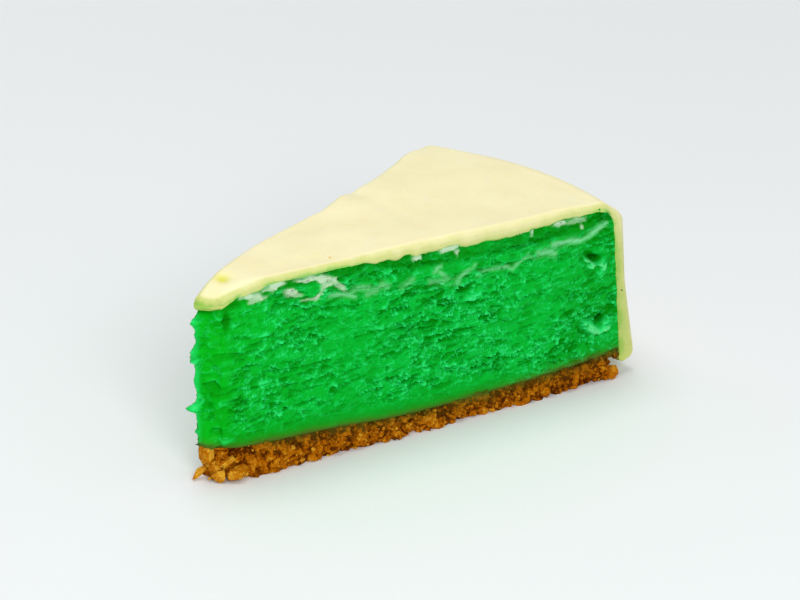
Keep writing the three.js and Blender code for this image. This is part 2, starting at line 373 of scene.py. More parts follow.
def coat_corner(r, angle, z, outer):
    """Distances in from the nearer cut and from the outside of the coat, where its upright corners are
    round, the back one more so toward its top."""
    side_gap = r * np.sin(HALF_ANGLE - np.abs(angle))
    front_gap, front_rim_gap = pulled_in(side_gap, outer - r, FRONT_CORNER)
    radius = lerp(BACK_FOOT_CORNER, BACK_CORNER, smoothstep(z, *BACK_CORNER_HEIGHTS))
    outside = np.clip(1 - (outer - r) / radius, 0, 1)
    pull = radius * (1 - np.sqrt(1 - outside**2))
    back_gap = side_gap + pull * (1 - smoothstep(side_gap, 0, BACK_CORNER_FADE * radius))
    return np.where(angle < 0, front_gap, back_gap), np.where(angle < 0, front_rim_gap, outer - r)


# The torn grain of the cuts: hollows walled by thin crests and drawn out along the cut, at two sizes

# Each tear's tint is how strongly its hollows get painted shade and its crests a paler colour, partly painted
# highlight.
CUT_TEARS = named_rows(
    "length height depth crest tint",
    (4.4, 1.4, 0.9, 0.3, 1.1),
    (1.9, 0.8, 0.45, 0.2, 0.9),
)
TIP_TEARS = named_rows(
    "length height depth crest tint",
    (5, 4.6, 0.9, 0.5, 0.5),
    (2.2, 1.6, 0.25, 0.15, 0.4),
)
TIP_SEED = SEED + 110
TEAR_SLOPE = 0.03
TEAR_SWAY = [(0, 1.2, 2.3, 1.2), (1, 0.4, 0.8, 0.6)]
TEAR_LIFT = [(2, 0.6, 3.2, 1.8), (3, 0.18, 0.8, 0.6)]
TEAR_BREAKS = [(4, 1, 1.5, 1)]
HOLLOW_WALL = (0.03, 0.35)
HOLLOW_CHOICE = (-0.5, 0.8)
HOLLOW_LIMITS = (0, 1.3)
CREST_WALL = (0.0, 0.18)
CREST_BREAKS = (-0.5, 0.4)
CREST_LIMITS = (0.1, 1.2)
SHELTER = 0.7
SHELTER_SLOPE = 1.2
GRAIN_DEPTH = 0.07
GRAIN_WAVES = [(5, 1, 0.55, 0.45), (6, 1, 1.1, 0.8)]
CALM_SHARE = 0.55
CALM_WAVES = [(7, 1, 15, 9)]
CALM_RANGE = (-0.6, 0.5)
SMOOTH_FOOT = 0.1
ROUGH_FOOT = 0.8
FOOT_ROUGHENS = (78, 98)
FOOT_FADES = (1, FOOT_HEIGHT + 2)
FOOT_DARKER = 0.7
FOOT_DARKER_HEIGHT = 3
FOOT_DARKER_FADES = (75, 95)
FAR_FOOT_DARKER_SHARE = 0.3
LEDGE_SHADE = 0.6
LEDGE_SHADED = (0.3, 1.4)
RIM_TINT = 0.3
RIM_TINTED = (92, 108)
HOLE_HOLLOW_SHADE_RANGE = (0.2, 0.8)
HOLE_CREST = (0.2, 0.6)
HOLE_SHADE_RANGE = (0.6, 1.4)
PIT_LIP_EDGE = [(48, 1, 1.6, 1.1), (49, 0.5, 0.7, 0.6)]
PIT_LIP_BREAKS = (-0.6, 0)
PIT_LIP_PALER = 0.4
PIT_LIP_PALE = (0.5, 1)
DEEP_HOLES = named_rows(
    "r z length height tilt depth",
    (108, 32.3, 2.1, 0.95, -0.55, 1.0),
    (109.6, 31.4, 1.2, 0.7, 0, 1.2),
    (111.8, 16, 1.1, 0.7, 0, 2.4),
    (72.8, 31.5, 2.2, 0.7, 0, 1.0),
    (13.0, 37.4, 1.3, 3.2, 0, 0.8),
)
PIT_LIPS = named_rows(
    "r z length height tilt depth",
    (107.7, 30.5, 3, 0.75, -0.62, 1.6),
    (111.1, 29.5, 1.1, 0.9, 0, 1.6),
    (109.3, 14, 3.4, 0.9, -0.66, 1.6),
    (113.5, 13.9, 1.4, 0.9, 0.3, 1.6),
    (74.5, 29.6, 2.4, 0.7, 0, 0.7),
)
CALM_PATCHES = named_rows(
    "r z length height depth",
    (38, 31, 11, 4.5, 0.2),
    (102, 27, 12, 7, 0.4),
    (68, 37.2, 22, 1.5, 0.6),
    (57, 29.5, 12, 4, -0.4),
    (88, 14, 16, 7, -0.35),
)
TIP_FLAKES = named_rows(
    "r z length height depth",
    (8.2, 37.1, 0.9, 0.9, -1.2),
    (8.2, 29.6, 1.6, 2.2, -0.9),
    (8.2, 23.6, 1.2, 1.4, -0.5),
    (8.2, 17.6, 0.9, 0.5, -2.2),
)


def torn_surface(run, z, seed, tears):
    """A torn surface: its relief, how much painted shade each place gets for lying in a hollow, and how much
    of a crest it is.
    """
    along = run + layered(run, z, seed, TEAR_SWAY)
    up = z - TEAR_SLOPE * run + layered(run, z, seed, TEAR_LIFT)
    broken = smoothstep(layered(run, z, seed, TEAR_BREAKS), *CREST_BREAKS)
    relief = GRAIN_DEPTH * layered(run, z, seed, GRAIN_WAVES)
    shaded_hollow, crest = np.zeros((2, *z.shape))
    for number, tear in enumerate(tears):
        edge, own, above = cells(along / tear["length"], up / tear["height"], seed + 10 + 3 * number)
        lean = SHELTER_SLOPE * above
        deep = smoothstep(edge, *HOLLOW_WALL) * smoothstep(own, *HOLLOW_CHOICE)
        deep = deep * np.clip(SHELTER + lean, *HOLLOW_LIMITS)
        ridge = (1 - smoothstep(edge, *CREST_WALL)) * broken * np.clip(SHELTER - lean, *CREST_LIMITS)
        relief = relief + tear["crest"] * ridge - tear["depth"] * deep
        shaded_hollow = shaded_hollow + tear["tint"] * deep
        crest = np.maximum(crest, tear["tint"] * ridge)
    return relief, shaded_hollow, crest


def torn_cut(r, z, side):
    """One cut: the torn grain, smoother in patches and near the foot, over the knife's ledges. Gives also how
    rough each place is."""
    seed = SEED + 40 + 30 * side
    foot = base_top(r)
    smooth_foot = lerp(SMOOTH_FOOT, ROUGH_FOOT, smoothstep(r, *FOOT_ROUGHENS))
    rough = lerp(smooth_foot, 1, smoothstep(z - foot, *FOOT_FADES))
    rough = rough * lerp(CALM_SHARE, 1, smoothstep(layered(r, z, seed, CALM_WAVES), *CALM_RANGE))
    rough = rough * (1 - pit_depth(r, z, CALM_PATCHES))
    torn, shaded_hollow, crest = torn_surface(r, z, seed, CUT_TEARS)
    ledge = ledge_relief(r, z, side)
    # The green is darker toward the foot, less so toward the rim.
    foot_darker = FOOT_DARKER * lerp(1, FAR_FOOT_DARKER_SHARE, smoothstep(r, *FOOT_DARKER_FADES))
    foot_darker = foot_darker * np.exp(-(((z - foot) / FOOT_DARKER_HEIGHT) ** 2))
    # Painted shade in the torn hollows and in the knife's recessed ledges; the mask is also darker toward the
    # foot and toward the rim.
    shaded_hollow = rough * shaded_hollow + LEDGE_SHADE * smoothstep(-ledge, *LEDGE_SHADED)
    shaded_hollow = shaded_hollow + RIM_TINT * smoothstep(r, *RIM_TINTED) + foot_darker
    return LEDGE_SHARE * ledge + rough * torn, shaded_hollow, rough * crest, rough


# Bits of icing that the knife tore off and smeared on the cuts, just under the icing

ICING_TEARS = named_rows(
    "r z length height tilt",
    (18.6, 42.2, 3.3, 1.2, -0.12),
    (20, 40.9, 2.5, 0.9, 0.1),
    (23.9, 43.0, 3.8, 1.1, 0.12),
    (28.2, 40.8, 2.7, 1.1, -0.45),
    (32, 43.1, 3.2, 0.9, -0.1),
    (36, 42.3, 3.2, 0.9, -0.25),
    (39.6, 40.3, 3.4, 0.7, -0.72),
    (37.4, 40.9, 2.4, 0.9, 0.25),
    (35.4, 39.5, 1.9, 0.45, 0.9),
    (32.6, 38.2, 2.4, 0.35, 0.0),
    (59.8, 42.2, 1.3, 1.4, 0.0),
    (68.6, 42.6, 2.9, 0.8, 0.05),
    (70.2, 41.2, 0.8, 1.1, 0.0),
    (97.9, 42.3, 2.3, 1.0, 0.0),
    (102.4, 42.5, 2.9, 1.2, -0.1),
    (104.2, 40.6, 0.7, 0.8, 0.0),
    (90.4, 41.9, 0.9, 0.7, 1.0),
)
SMEAR_RAISE = 0.12
SMEAR_EDGE = (0.55, 1.15)
SMEAR_RAGGED = [(72, 0.35, 1.7, 1.1), (74, 0.15, 0.7, 0.5)]
SMEAR_STREAKS = [(78, 1, 2.2, 0.7)]
SMEAR_STREAKED = (-0.5, 0.4)
SMEAR_THIN = 0.6


def own_way(r, side):
    """The distance out, or on the back cut the distance in, so that the two cuts differ."""
    return r if side == 0 else WALL_RADIUS + TIP_FRONT - r


def icing_smear(r, z, side):
    """How much torn icing lies on each place of a cut."""
    ragged = layered(r, z, SEED + side, SMEAR_RAGGED)
    away = np.min([oval(own_way(r, side), z, tear) for tear in ICING_TEARS], axis=0)
    streaks = smoothstep(layered(r, z, SEED + side, SMEAR_STREAKS), *SMEAR_STREAKED)
    return lerp(SMEAR_THIN, 1, streaks) * (1 - smoothstep(away + ragged, *SMEAR_EDGE))


CREAM_STRANDS = named_rows(
    "r z width strength",
    ((96.5, 100.4, 104.1, 107.2, 111.6), (37.3, 37.5, 37.1, 38.1, 39.9), 0.75, 1),
    ((92.1, 94.9, 97.7), (36.3, 36.1, 35.1), 1.0, 0.75),
    ((76, 78, 84.2, 85.6, 89.6, 91.3), (34.6, 35.3, 34.8, 33.9, 36.6, 35.5), 0.5, 0.7),
    ((70.8, 73.9, 75.5), (34.5, 36.3, 37.1), 0.6, 0.65),
    ((63.3, 67.3, 71.3), (35.4, 35, 33.9), 0.7, 0.6),
    ((64.6, 66.2), (37.7, 38.6), 0.7, 0.75),
    ((65.9, 68.3), (37.2, 35.5), 0.55, 0.7),
    ((56.1, 59.1), (35.8, 37), 0.8, 0.45),
    ((47.1, 49.9, 50.9, 52.9), (36.1, 36.7, 37.4, 36.9), 0.8, 0.6),
    ((43.6, 45.8, 48.1), (37.4, 38, 37.3), 0.8, 0.55),
    ((37.6, 41.6, 44.3), (38, 37.2, 36.3), 0.6, 0.85),
)
STRAND_WAVES = [(70, 1, 3, 0.8), (71, 0.6, 1.2, 0.5)]
STRAND_SWAY = 0.25
STRAND_ENDS = (-0.5, 1)
STRAND_BREAKS = (-1.4, 0.2)


def cream_streak(r, z, side):
    """How much cream shows at each place of a cut: hazy broken strands along the seam."""
    out = own_way(r, side)
    drawn = layered(r, z, SEED, STRAND_WAVES)
    share = np.zeros(z.shape)
    for strand in CREAM_STRANDS:
        above = z - np.interp(out, strand["r"], strand["z"]) - STRAND_SWAY * drawn
        beyond = np.maximum(strand["r"][0] - out, out - strand["r"][-1])
        band = np.exp(-((above / strand["width"]) ** 2)) * (1 - smoothstep(beyond, *STRAND_ENDS))
        share = np.maximum(share, strand["strength"] * band)
    return share * smoothstep(drawn, *STRAND_BREAKS)


# The lime filling, the cream seam and the lime layer above it share one skin, so that they meet

FILLING_ROWS = 112
SEAM_ROWS = 6
TOP_ROWS = 28
CUT_STEPS = 380
RIM_STEPS = 30
TIP_STEPS = 22
FILLING_SINK = 0.6
ICING_SINK = 0.6
LEDGE_SHARE = 0.6
UNDERCUT = 0.2
TIP_UNDERCUT = 0.7
UNDERCUT_HEIGHT = 4
UNDERCUT_CLEAR = 1
UNDERCUT_BLEND = 6
CREST_SAG = 0.25
SEAM_THICKNESS = 1.2
TIP_GRAIN = 0.3
TIP_FADE = 12
TIP_BLEND = 4
TIP_EDGE_HIGHLIGHT = 0.5
TIP_EDGE_START = 0.3
SOFT_TIP_SHARES = (0.3, 0.6)
SMEAR_FILLS = 0.6
SHADE_DEPTHS = (2.2, 4.5)
SHADE_DEEPENS = (50, 66)
SHADE_FADE = 0.7
SHADE_DIMS = 0.3
WALL_FADE = 1.5
STAIN_HEIGHT = 0.6
STAIN_WAVES = [(76, 0.2, 3, 1)]
STAIN_DROP = 0.2


def torn_sides(loop, r, z):
    """The torn relief all around the slice, and how much of each mark shows at each place."""
    relief, shaded_hollow, crest, smear, cream = np.zeros((5, *z.shape))
    grain = np.full(z.shape, TIP_GRAIN)
    across = TIP_FRONT * loop.angle + 0 * z
    for side, cut in enumerate((FRONT, BACK)):
        at = loop.side == cut
        torn, deep, ridge, rough = torn_cut(r[:, at], z[:, at], side)
        along = across[:, at] + side * (r[:, at] - TIP_BACK)
        corner, corner_deep, corner_ridge = torn_surface(along, z[:, at], TIP_SEED, TIP_TEARS)
        clear = smoothstep(r[:, at], TIP_FRONT, TIP_FRONT + TIP_BLEND)
        smear[:, at] = clear * icing_smear(r[:, at], z[:, at], side)
        cream[:, at] = cream_streak(r[:, at], z[:, at], side)
        relief[:, at] = lerp(corner, torn, clear)
        shaded_hollow[:, at] = lerp(corner_deep, deep, clear)
        crest[:, at] = lerp(corner_ridge, ridge, clear)
        grain[:, at] = lerp(TIP_GRAIN, rough, clear)
    at = loop.side == TIP
    relief[:, at], shaded_hollow[:, at], crest[:, at] = torn_surface(across[:, at], z[:, at], TIP_SEED, TIP_TEARS)
    relief[:, at] += scallop_relief(loop.angle[at], z[:, at])
    # A painted highlight along the tip's back edge, carried by the crest mark.
    crest[:, at] += TIP_EDGE_HIGHLIGHT * smoothstep(loop.angle[at], TIP_EDGE_START * HALF_ANGLE, HALF_ANGLE)
    relief -= pit_depth(r, z, TIP_FLAKES) * (loop.angle > 0)
    return relief, shaded_hollow, crest, smear, cream, grain


def lime_body(lime, seam, lime_top):
    loop = WedgeLoop(CUT_STEPS, RIM_STEPS, TIP_STEPS)
    nominal = lerp(loop.tip, WALL_RADIUS, loop.share)
    middle = seam_middle(nominal, loop.angle)
    half = SEAM_THICKNESS / 2
    bottom = base_top(nominal) - FILLING_SINK
    top = filling_top(nominal, loop.angle) + ICING_SINK
    heights = [
        lerp(bottom, middle - half, np.linspace(0, 1, FILLING_ROWS)[:, None]),
        lerp(middle - half, middle + half, np.linspace(0, 1, SEAM_ROWS)[1:, None]),
        lerp(middle + half, top, np.linspace(0, 1, TOP_ROWS)[1:, None]),
    ]
    z = np.concatenate(heights)
    r = lerp(loop.tip, filling_rim(z), loop.share)
    outer = np.maximum(COAT_OUTER, filling_rim(z) + COAT_THICKNESS)
    side_gap, rim_gap = coat_corner(r, loop.angle, z, outer)
    turned = np.sign(loop.angle) * (HALF_ANGLE - np.arcsin(side_gap / (outer - rim_gap)))
    flat = place(outer - rim_gap, turned, z)[..., :2]
    flat = lerp(soften_corners(flat), flat, smoothstep(loop.share, *SOFT_TIP_SHARES)[None, :, None])

    relief, shaded_hollow, crest, smear, cream, grain = torn_sides(loop, r, z)
    front = loop.side == FRONT
    holes = pit_depth(r, z, DEEP_HOLES) * front
    jagged = smoothstep(layered(r, z, SEED, PIT_LIP_EDGE), *PIT_LIP_BREAKS)
    lips = np.minimum(pit_depth(r, z, PIT_LIPS), 1) * jagged * front
    # Painted shade in the deep holes, both on the hollow mask and as a darker hole colour.
    shaded_hollow = shaded_hollow + smoothstep(holes, *HOLE_HOLLOW_SHADE_RANGE)
    # The torn lips below the holes get the crest's paler colour: partly the thin flap, partly painted
    # highlight.
    crest = (crest + lips) * (1 - smoothstep(holes, *HOLE_CREST))
    relief = (relief + lips - holes) * (1 - SMEAR_FILLS * cream) * (1 - SMEAR_FILLS * smear)
    shade_line = top - lerp(*SHADE_DEPTHS, smoothstep(nominal, *SHADE_DEEPENS))
    shade = smoothstep(z, shade_line - SHADE_FADE, shade_line + SHADE_FADE) * (1 - smear)
    shaded_hollow = shaded_hollow * (1 - cream)
    crest = crest * (1 - cream) * (1 - SHADE_DIMS * shade)
    undercut = lerp(TIP_UNDERCUT, UNDERCUT, smoothstep(r, TIP_FRONT, TIP_FRONT + UNDERCUT_BLEND))
    under = smoothstep(z, top - UNDERCUT_HEIGHT, top - UNDERCUT_CLEAR) * (1 - smear)
    relief = lerp(relief, np.minimum(relief, 0) - undercut, under) + SMEAR_RAISE * smear
    relief = relief * (1 - smoothstep(nominal, WALL_RADIUS - WALL_FADE, WALL_RADIUS))
    flat = flat + outward_of(flat) * relief[..., None]
    corners = np.concatenate([flat, (z - CREST_SAG * crest)[..., None]], axis=-1)

    uneven = layered(nominal, 0, SEED, STAIN_WAVES) - STAIN_DROP
    marks = {
        "shaded_hollow": np.clip(shaded_hollow, 0, 1),
        "hole_shade": smoothstep(holes, *HOLE_SHADE_RANGE),
        # The crest mark paints the crests paler: partly their thin torn edge, partly a painted highlight.
        "crest": np.clip(crest, 0, 1),
        "smear": smear,
        # On the pit lips the cream mark paints a paler colour, partly painted highlight.
        "cream": np.maximum(cream, PIT_LIP_PALER * smoothstep(lips, *PIT_LIP_PALE)),
        "shade": shade,
        "stain": np.exp(-np.clip(z - base_top(nominal) - uneven, 0, None) / STAIN_HEIGHT),
        "grain": np.clip(grain, 0, 1),
        "tip": np.exp(-np.clip(r - TIP_FRONT, 0, None) / TIP_FADE),
    }
    last_seam = FILLING_ROWS + SEAM_ROWS - 1
    layers = [
        ("lime_filling_torn", "lime_filling", "lime", lime, 0, FILLING_ROWS),
        ("cream_seam_streak", "cream_seam", "seam", seam, FILLING_ROWS - 1, last_seam),
        ("lime_top_crumbly", "lime_top_layer", "lime_top", lime_top, last_seam - 1, len(z)),
    ]
    for name, node_name, slot, material, start, end in layers:
        rows = end - start
        faces = skin_faces(rows, loop.count)
        caps = loop.cap(0, False) + loop.cap((rows - 1) * loop.count, True)
        own_marks = {mark: values[start:end] for mark, values in marks.items()}
        piece = make_piece(name, corners[start:end], faces + caps, material, own_marks, len(caps))
        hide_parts(node_name)


# The icing: closed rings that run from the tip over the top and down the round side

TOP_RINGS = 220
ROUND_RINGS = 16
WALL_RINGS = 64
RING_CROWDING = 0.45
ACROSS_STEPS = 90
ACROSS_CROWDING = 0.75
EDGE_STEPS = 9
UNDER_STEPS = 16
UNDER_LIFT = -0.15
UNDER_INSET = 0.9
UNDER_INSET_LIMIT = 0.08
UNDER_HANG_REACH = 1.5
EDGE_ROUND = 1.5
TIP_HANG = 0.1
TIP_HANG_REACH = 3.5
TIP_CORNER = 1.6
SHOULDER_DIP = 1
SHOULDER_LENGTH = 9
SHOULDER_TOP_SHARE = 0.5
TIP_OVERHANG = 0.8
TIP_BULGE = np.array([-0.8, 0, -0.1])
LIP_BULGE = np.array([0, 0, -0.4])
BULGE_SHARES = (0.12, 0.3, 0.55, 0.8)
COAT_WAVES = [(36, 0.1, 9, 1 / 9), (37, 0.05, 3.1, 1 / 14)]
COAT_WAVE_INSET = 2
EDGE_WAVES = [(33, 0.36, 2.6, 1), (34, 0.14, 0.9, 1)]
EDGE_WAVES_APART = 9.0
EDGE_GRAIN = [(38, 0.1, 1.9, 0.8)]
EDGE_BULGE = 0.12
EDGE_TUCK = 0.35
WALL_EDGE_TUCK = -0.15
WALL_EDGE_RAGGED = 0.4
WALL_EDGE_HANG = 0.3
LIP_EDGE_SWELL = 0.5
LIP_EDGE_SWELLS = (0, 0.6)
LIP_EDGE_ROLL = 1.3
BACK_RIM_START = 6
BACK_RIM_SHARPER = 0.75
BACK_WAVES = named_rows(
    "r width reach",
    (34, 18, 1.8),
    (59, 3, -0.5),
    (70, 4, 0.8),
    (81, 7, -0.5),
    (102, 7, 1.2),
)
EDGE_LOBES = named_rows(
    "r width drop",
    (18.5, 2.6, 0.4),
    (36, 11, -0.5),
    (58, 10, 0.4),
    (59.7, 1.1, 0.5),
    (82, 17, 1.3),
    (102.5, 2.4, 0.4),
)
TIP_DENT = {"r": 16, "angle": radians(5.5), "length": 1.5, "width": 1.5, "depth": 0.5}


def rounded_drop(distance, radius):
    """How far a rounded edge lies below its full height, at a distance in from the edge."""
    short = radius - np.clip(distance, 0, radius)
    return radius - np.sqrt(radius**2 - short**2)


def dent_share(r, angle):
    along = (r - TIP_DENT["r"]) / TIP_DENT["length"]
    across = r * (angle - TIP_DENT["angle"]) / TIP_DENT["width"]
    return np.exp(-(along**2) - across**2)


def icing_path(angle):
    """The icing's underside along its length, with the direction and amount of its thickness."""
    steps = np.linspace(0, 1, TOP_RINGS)
    share = lerp(steps, steps**2, RING_CROWDING)[:, None]
    start = tip_radius(angle) - TIP_OVERHANG
    top_r = lerp(start, ROUND_RADIUS, share)
    groove = GROOVE_RADIUS + GROOVE_SKEW * angle / HALF_ANGLE
    dip = GROOVE_DEPTH * np.exp(-(((top_r - groove) / GROOVE_WIDTH) ** 2))
    toward_back = smoothstep(angle, GROOVE_BACK_START * HALF_ANGLE, HALF_ANGLE)
    dip = dip * lerp(GROOVE_FRONT_SHARE, 1, toward_back)
    ripple = RIPPLE_DEPTH * noise(top_r / RIPPLE_LENGTH, angle * ACROSS_PLACES, SEED + 30)
    shoulder = SHOULDER_DIP * (angle / HALF_ANGLE) ** 2
    near_rim = smoothstep(top_r, ROUND_RADIUS - SHOULDER_LENGTH, ROUND_RADIUS)
    dip = dip + SHOULDER_TOP_SHARE * shoulder * near_rim
    top = {
        "r": top_r,
        "z": filling_top(top_r, angle),
        "out": np.zeros(top_r.shape),
        "up": np.ones(top_r.shape),
        "thickness": ICING_THICKNESS - dip + ripple - TIP_DENT["depth"] * dent_share(top_r, angle),
        "from_tip": top_r - start,
    }
    share = np.linspace(0, 1, ROUND_RINGS + 1)[1:, None]
    turn = lerp(pi / 2, WALL_LEAN, share) + 0 * angle
    rounded = {
        "r": ROUND_RADIUS + RIM_ROUND * np.cos(turn),
        "z": ROUND_HEIGHT + RIM_ROUND * np.sin(turn),
        "out": np.cos(turn),
        "up": np.sin(turn),
        "thickness": lerp(top["thickness"][-1], COAT_THICKNESS, share) - shoulder * np.sin(pi * share) ** 2,
        "from_tip": np.full(turn.shape, WALL_RADIUS),
    }
    share = np.linspace(0, 1, WALL_RINGS + 1)[1:, None]
    lip = LIP_HEIGHT + LIP_WAVE * (1 + noise(angle * LIP_PLACES, 0, SEED + 31))
    z = lerp(rounded["z"][-1], lip, 1 - (1 - share) ** LIP_CROWDING)
    swell = LIP_SWELL * (1 - np.clip((z - lip) / LIP_SWELL_REACH, 0, 1))
    under = 1 - np.clip((z - lip) / LIP_ROUND, 0, 1)
    rolled = LIP_ROUND * (1 - np.sqrt(1 - under**2))
    wall = {
        "r": rounded["r"][-1] + (rounded["z"][-1] - z) * tan(WALL_LEAN),
        "z": z,
        "out": np.full(z.shape, cos(WALL_LEAN)),
        "up": np.full(z.shape, sin(WALL_LEAN)),
        "thickness": COAT_THICKNESS + swell - rolled,
        "from_tip": np.full(z.shape, WALL_RADIUS),
    }
    path = {key: np.concatenate([top[key], rounded[key], wall[key]]) for key in top}
    path["outer"] = np.maximum(COAT_OUTER, path["r"] + path["out"] * path["thickness"])
    path["on_wall"] = path["from_tip"] >= WALL_RADIUS
    path["run"] = path["r"] + (FILLING_HEIGHT - path["z"]) * path["on_wall"]
    no_lip = np.zeros((TOP_RINGS + ROUND_RINGS, angle.shape[1]))
    path["under"] = np.concatenate([no_lip, under])
    return path


def coat_place(path, angle, lift):
    """Corners at a lift above the icing's underside, with the upright corners of the coat rounded."""
    r = path["r"] + path["out"] * lift
    z = path["z"] + path["up"] * lift
    side_gap, rim_gap = coat_corner(r, angle, z, path["outer"])
    side_gap, tip_gap = pulled_in(side_gap, path["from_tip"], TIP_CORNER)
    r = path["outer"] - rim_gap + tip_gap - path["from_tip"]
    turned = np.sign(angle) * (HALF_ANGLE - np.arcsin(side_gap / r))
    wave = sum(bow["reach"] * np.exp(-(((r - bow["r"]) / bow["width"]) ** 2)) for bow in BACK_WAVES)
    return place(r, turned + wave * smoothstep(turned, 0, HALF_ANGLE) / r, z)


def ragged_drop(path, side):
    """How far the torn lower edge of the icing hangs down over a cut."""
    run = path["run"]
    fine = layered(run, side * EDGE_WAVES_APART, SEED, EDGE_WAVES)
    drop = TIP_HANG * (1 - smoothstep(path["from_tip"], 0, TIP_HANG_REACH))
    for lobe in EDGE_LOBES:
        at = lobe["r"] if side == 0 else WALL_RADIUS - lobe["r"]
        drop = drop + lobe["drop"] * np.exp(-(((run - at) / lobe["width"]) ** 4))
    lip = WALL_EDGE_HANG + LIP_EDGE_SWELL * smoothstep(path["under"], *LIP_EDGE_SWELLS)
    lip = lip - LIP_EDGE_ROLL * path["under"] ** 3
    return np.where(path["on_wall"], lip + WALL_EDGE_RAGGED * fine, drop + fine)


def icing_edge(path, side, edge_drop):
    """The torn edge of the icing along one cut, from its ragged lower line up to the top. Gives also how high
    above that line each corner is."""
    column = slice(0, 1) if side == 0 else slice(-1, None)
    own = {key: values[:, column] for key, values in path.items()}
    full = own["thickness"] - edge_drop[:, column]
    shares = np.linspace(0, 1, EDGE_STEPS)[None, :]
    hang = ragged_drop(own, side)
    lift = lerp(-hang, full, shares)
    tuck = np.where(own["on_wall"], WALL_EDGE_TUCK, EDGE_TUCK)
    proud = EDGE_BULGE * np.sin(pi * shares) - tuck * (1 - shares) ** 2
    proud = proud + (1 - shares) * layered(own["run"], lift, SEED + side, EDGE_GRAIN)
    facing = -1 if side == 0 else 1
    sideways = np.array([-sin(HALF_ANGLE), facing * cos(HALF_ANGLE), 0])
    corners = coat_place(own, np.full(lift.shape, facing * HALF_ANGLE), lift) + sideways * proud[..., None]
    return corners, lift + hang


def drawn_together(ring, bulge):
    """Smaller copies of an end ring over a soft bulge, which close the coat there."""
    middle = ring.mean(axis=0)
    rings = [lerp(ring, middle, share) + bulge * sqrt(1 - (1 - share) ** 2) for share in BULGE_SHARES]
    return np.array(rings)


SKIRT_FADES = (1.8, 1.5)
SKIRT_NARROWS = (35, 50)
SKIRT_OVER = 1.2
TIP_SHADE = 0.3
TIP_SHADE_REACH = 3
EDGE_SHADE = 0.16
EDGE_SHADE_STARTS = (0, 0.25)
EDGE_SHADE_ENDS = (0.4, 1.2)
WALL_STARTS = (WALL_RADIUS - 2, WALL_RADIUS + 10)
WALL_TIP_REACH = 2
WALL_EDGE_TINTS = (1, 0.6)
WALL_ROUND_TINT = 0.6
LIP_TINT = 0.35
LIP_TINT_REACH = 3


def coat_marks(path, angle, drop, front_height, back_height, around):
    """How much each corner of the icing is tinted toward green: partly the green showing through its thin
    edges and partly painted shade where the edge turns down, at the tip and on the rounding. Gives also its
    dents and its wall.
    """
    shape = (len(drop), around)
    run = path["run"][:, :1]
    on_edge = np.linspace(*WALL_EDGE_TINTS, EDGE_STEPS)
    down_wall = smoothstep(run, *WALL_STARTS)
    fade = lerp(*SKIRT_FADES, smoothstep(run, *SKIRT_NARROWS))
    nearer = np.where(angle < 0, front_height[:, -1:] + drop[:, :1], back_height[:, -1:] + drop[:, -1:])
    # Tinted toward the edge's lower line: partly the green showing through, partly painted shade where the
    # edge turns down.
    over = SKIRT_OVER * np.exp((drop - nearer) / fade) * np.sqrt(drop / EDGE_ROUND)
    # Painted shade on the icing's tip.
    over = over + TIP_SHADE * np.exp(-path["from_tip"] / TIP_SHADE_REACH)
    # Painted shade near the top of the edge's rounding.
    over = over + EDGE_SHADE * smoothstep(drop, *EDGE_SHADE_STARTS) * (1 - smoothstep(drop, *EDGE_SHADE_ENDS))
    skirt_tint_and_shade = np.ones(shape)
    skirt_tint_and_shade[:, :ACROSS_STEPS] = lerp(over, WALL_ROUND_TINT * drop / EDGE_ROUND, down_wall)
    back_tint = lerp(np.exp(-back_height / fade), on_edge, down_wall)
    front_tint = lerp(np.exp(-front_height / fade), on_edge, down_wall)
    skirt_tint_and_shade[:, ACROSS_STEPS:ACROSS_STEPS + EDGE_STEPS - 1] = back_tint[:, -2::-1]
    skirt_tint_and_shade[:, around - EDGE_STEPS + 1:] = front_tint[:, :-1]
    dent = np.zeros(shape)
    dent[:, :ACROSS_STEPS] = dent_share(path["r"], angle)
    dent = dent + LIP_TINT * down_wall * np.exp((LIP_HEIGHT - path["z"][:, :1]) / LIP_TINT_REACH)
    wall = np.zeros(shape)
    wall[:] = down_wall + np.exp(-path["from_tip"][:, :1] / WALL_TIP_REACH)
    return {"skirt_tint_and_shade": skirt_tint_and_shade, "dent": dent, "wall": wall}


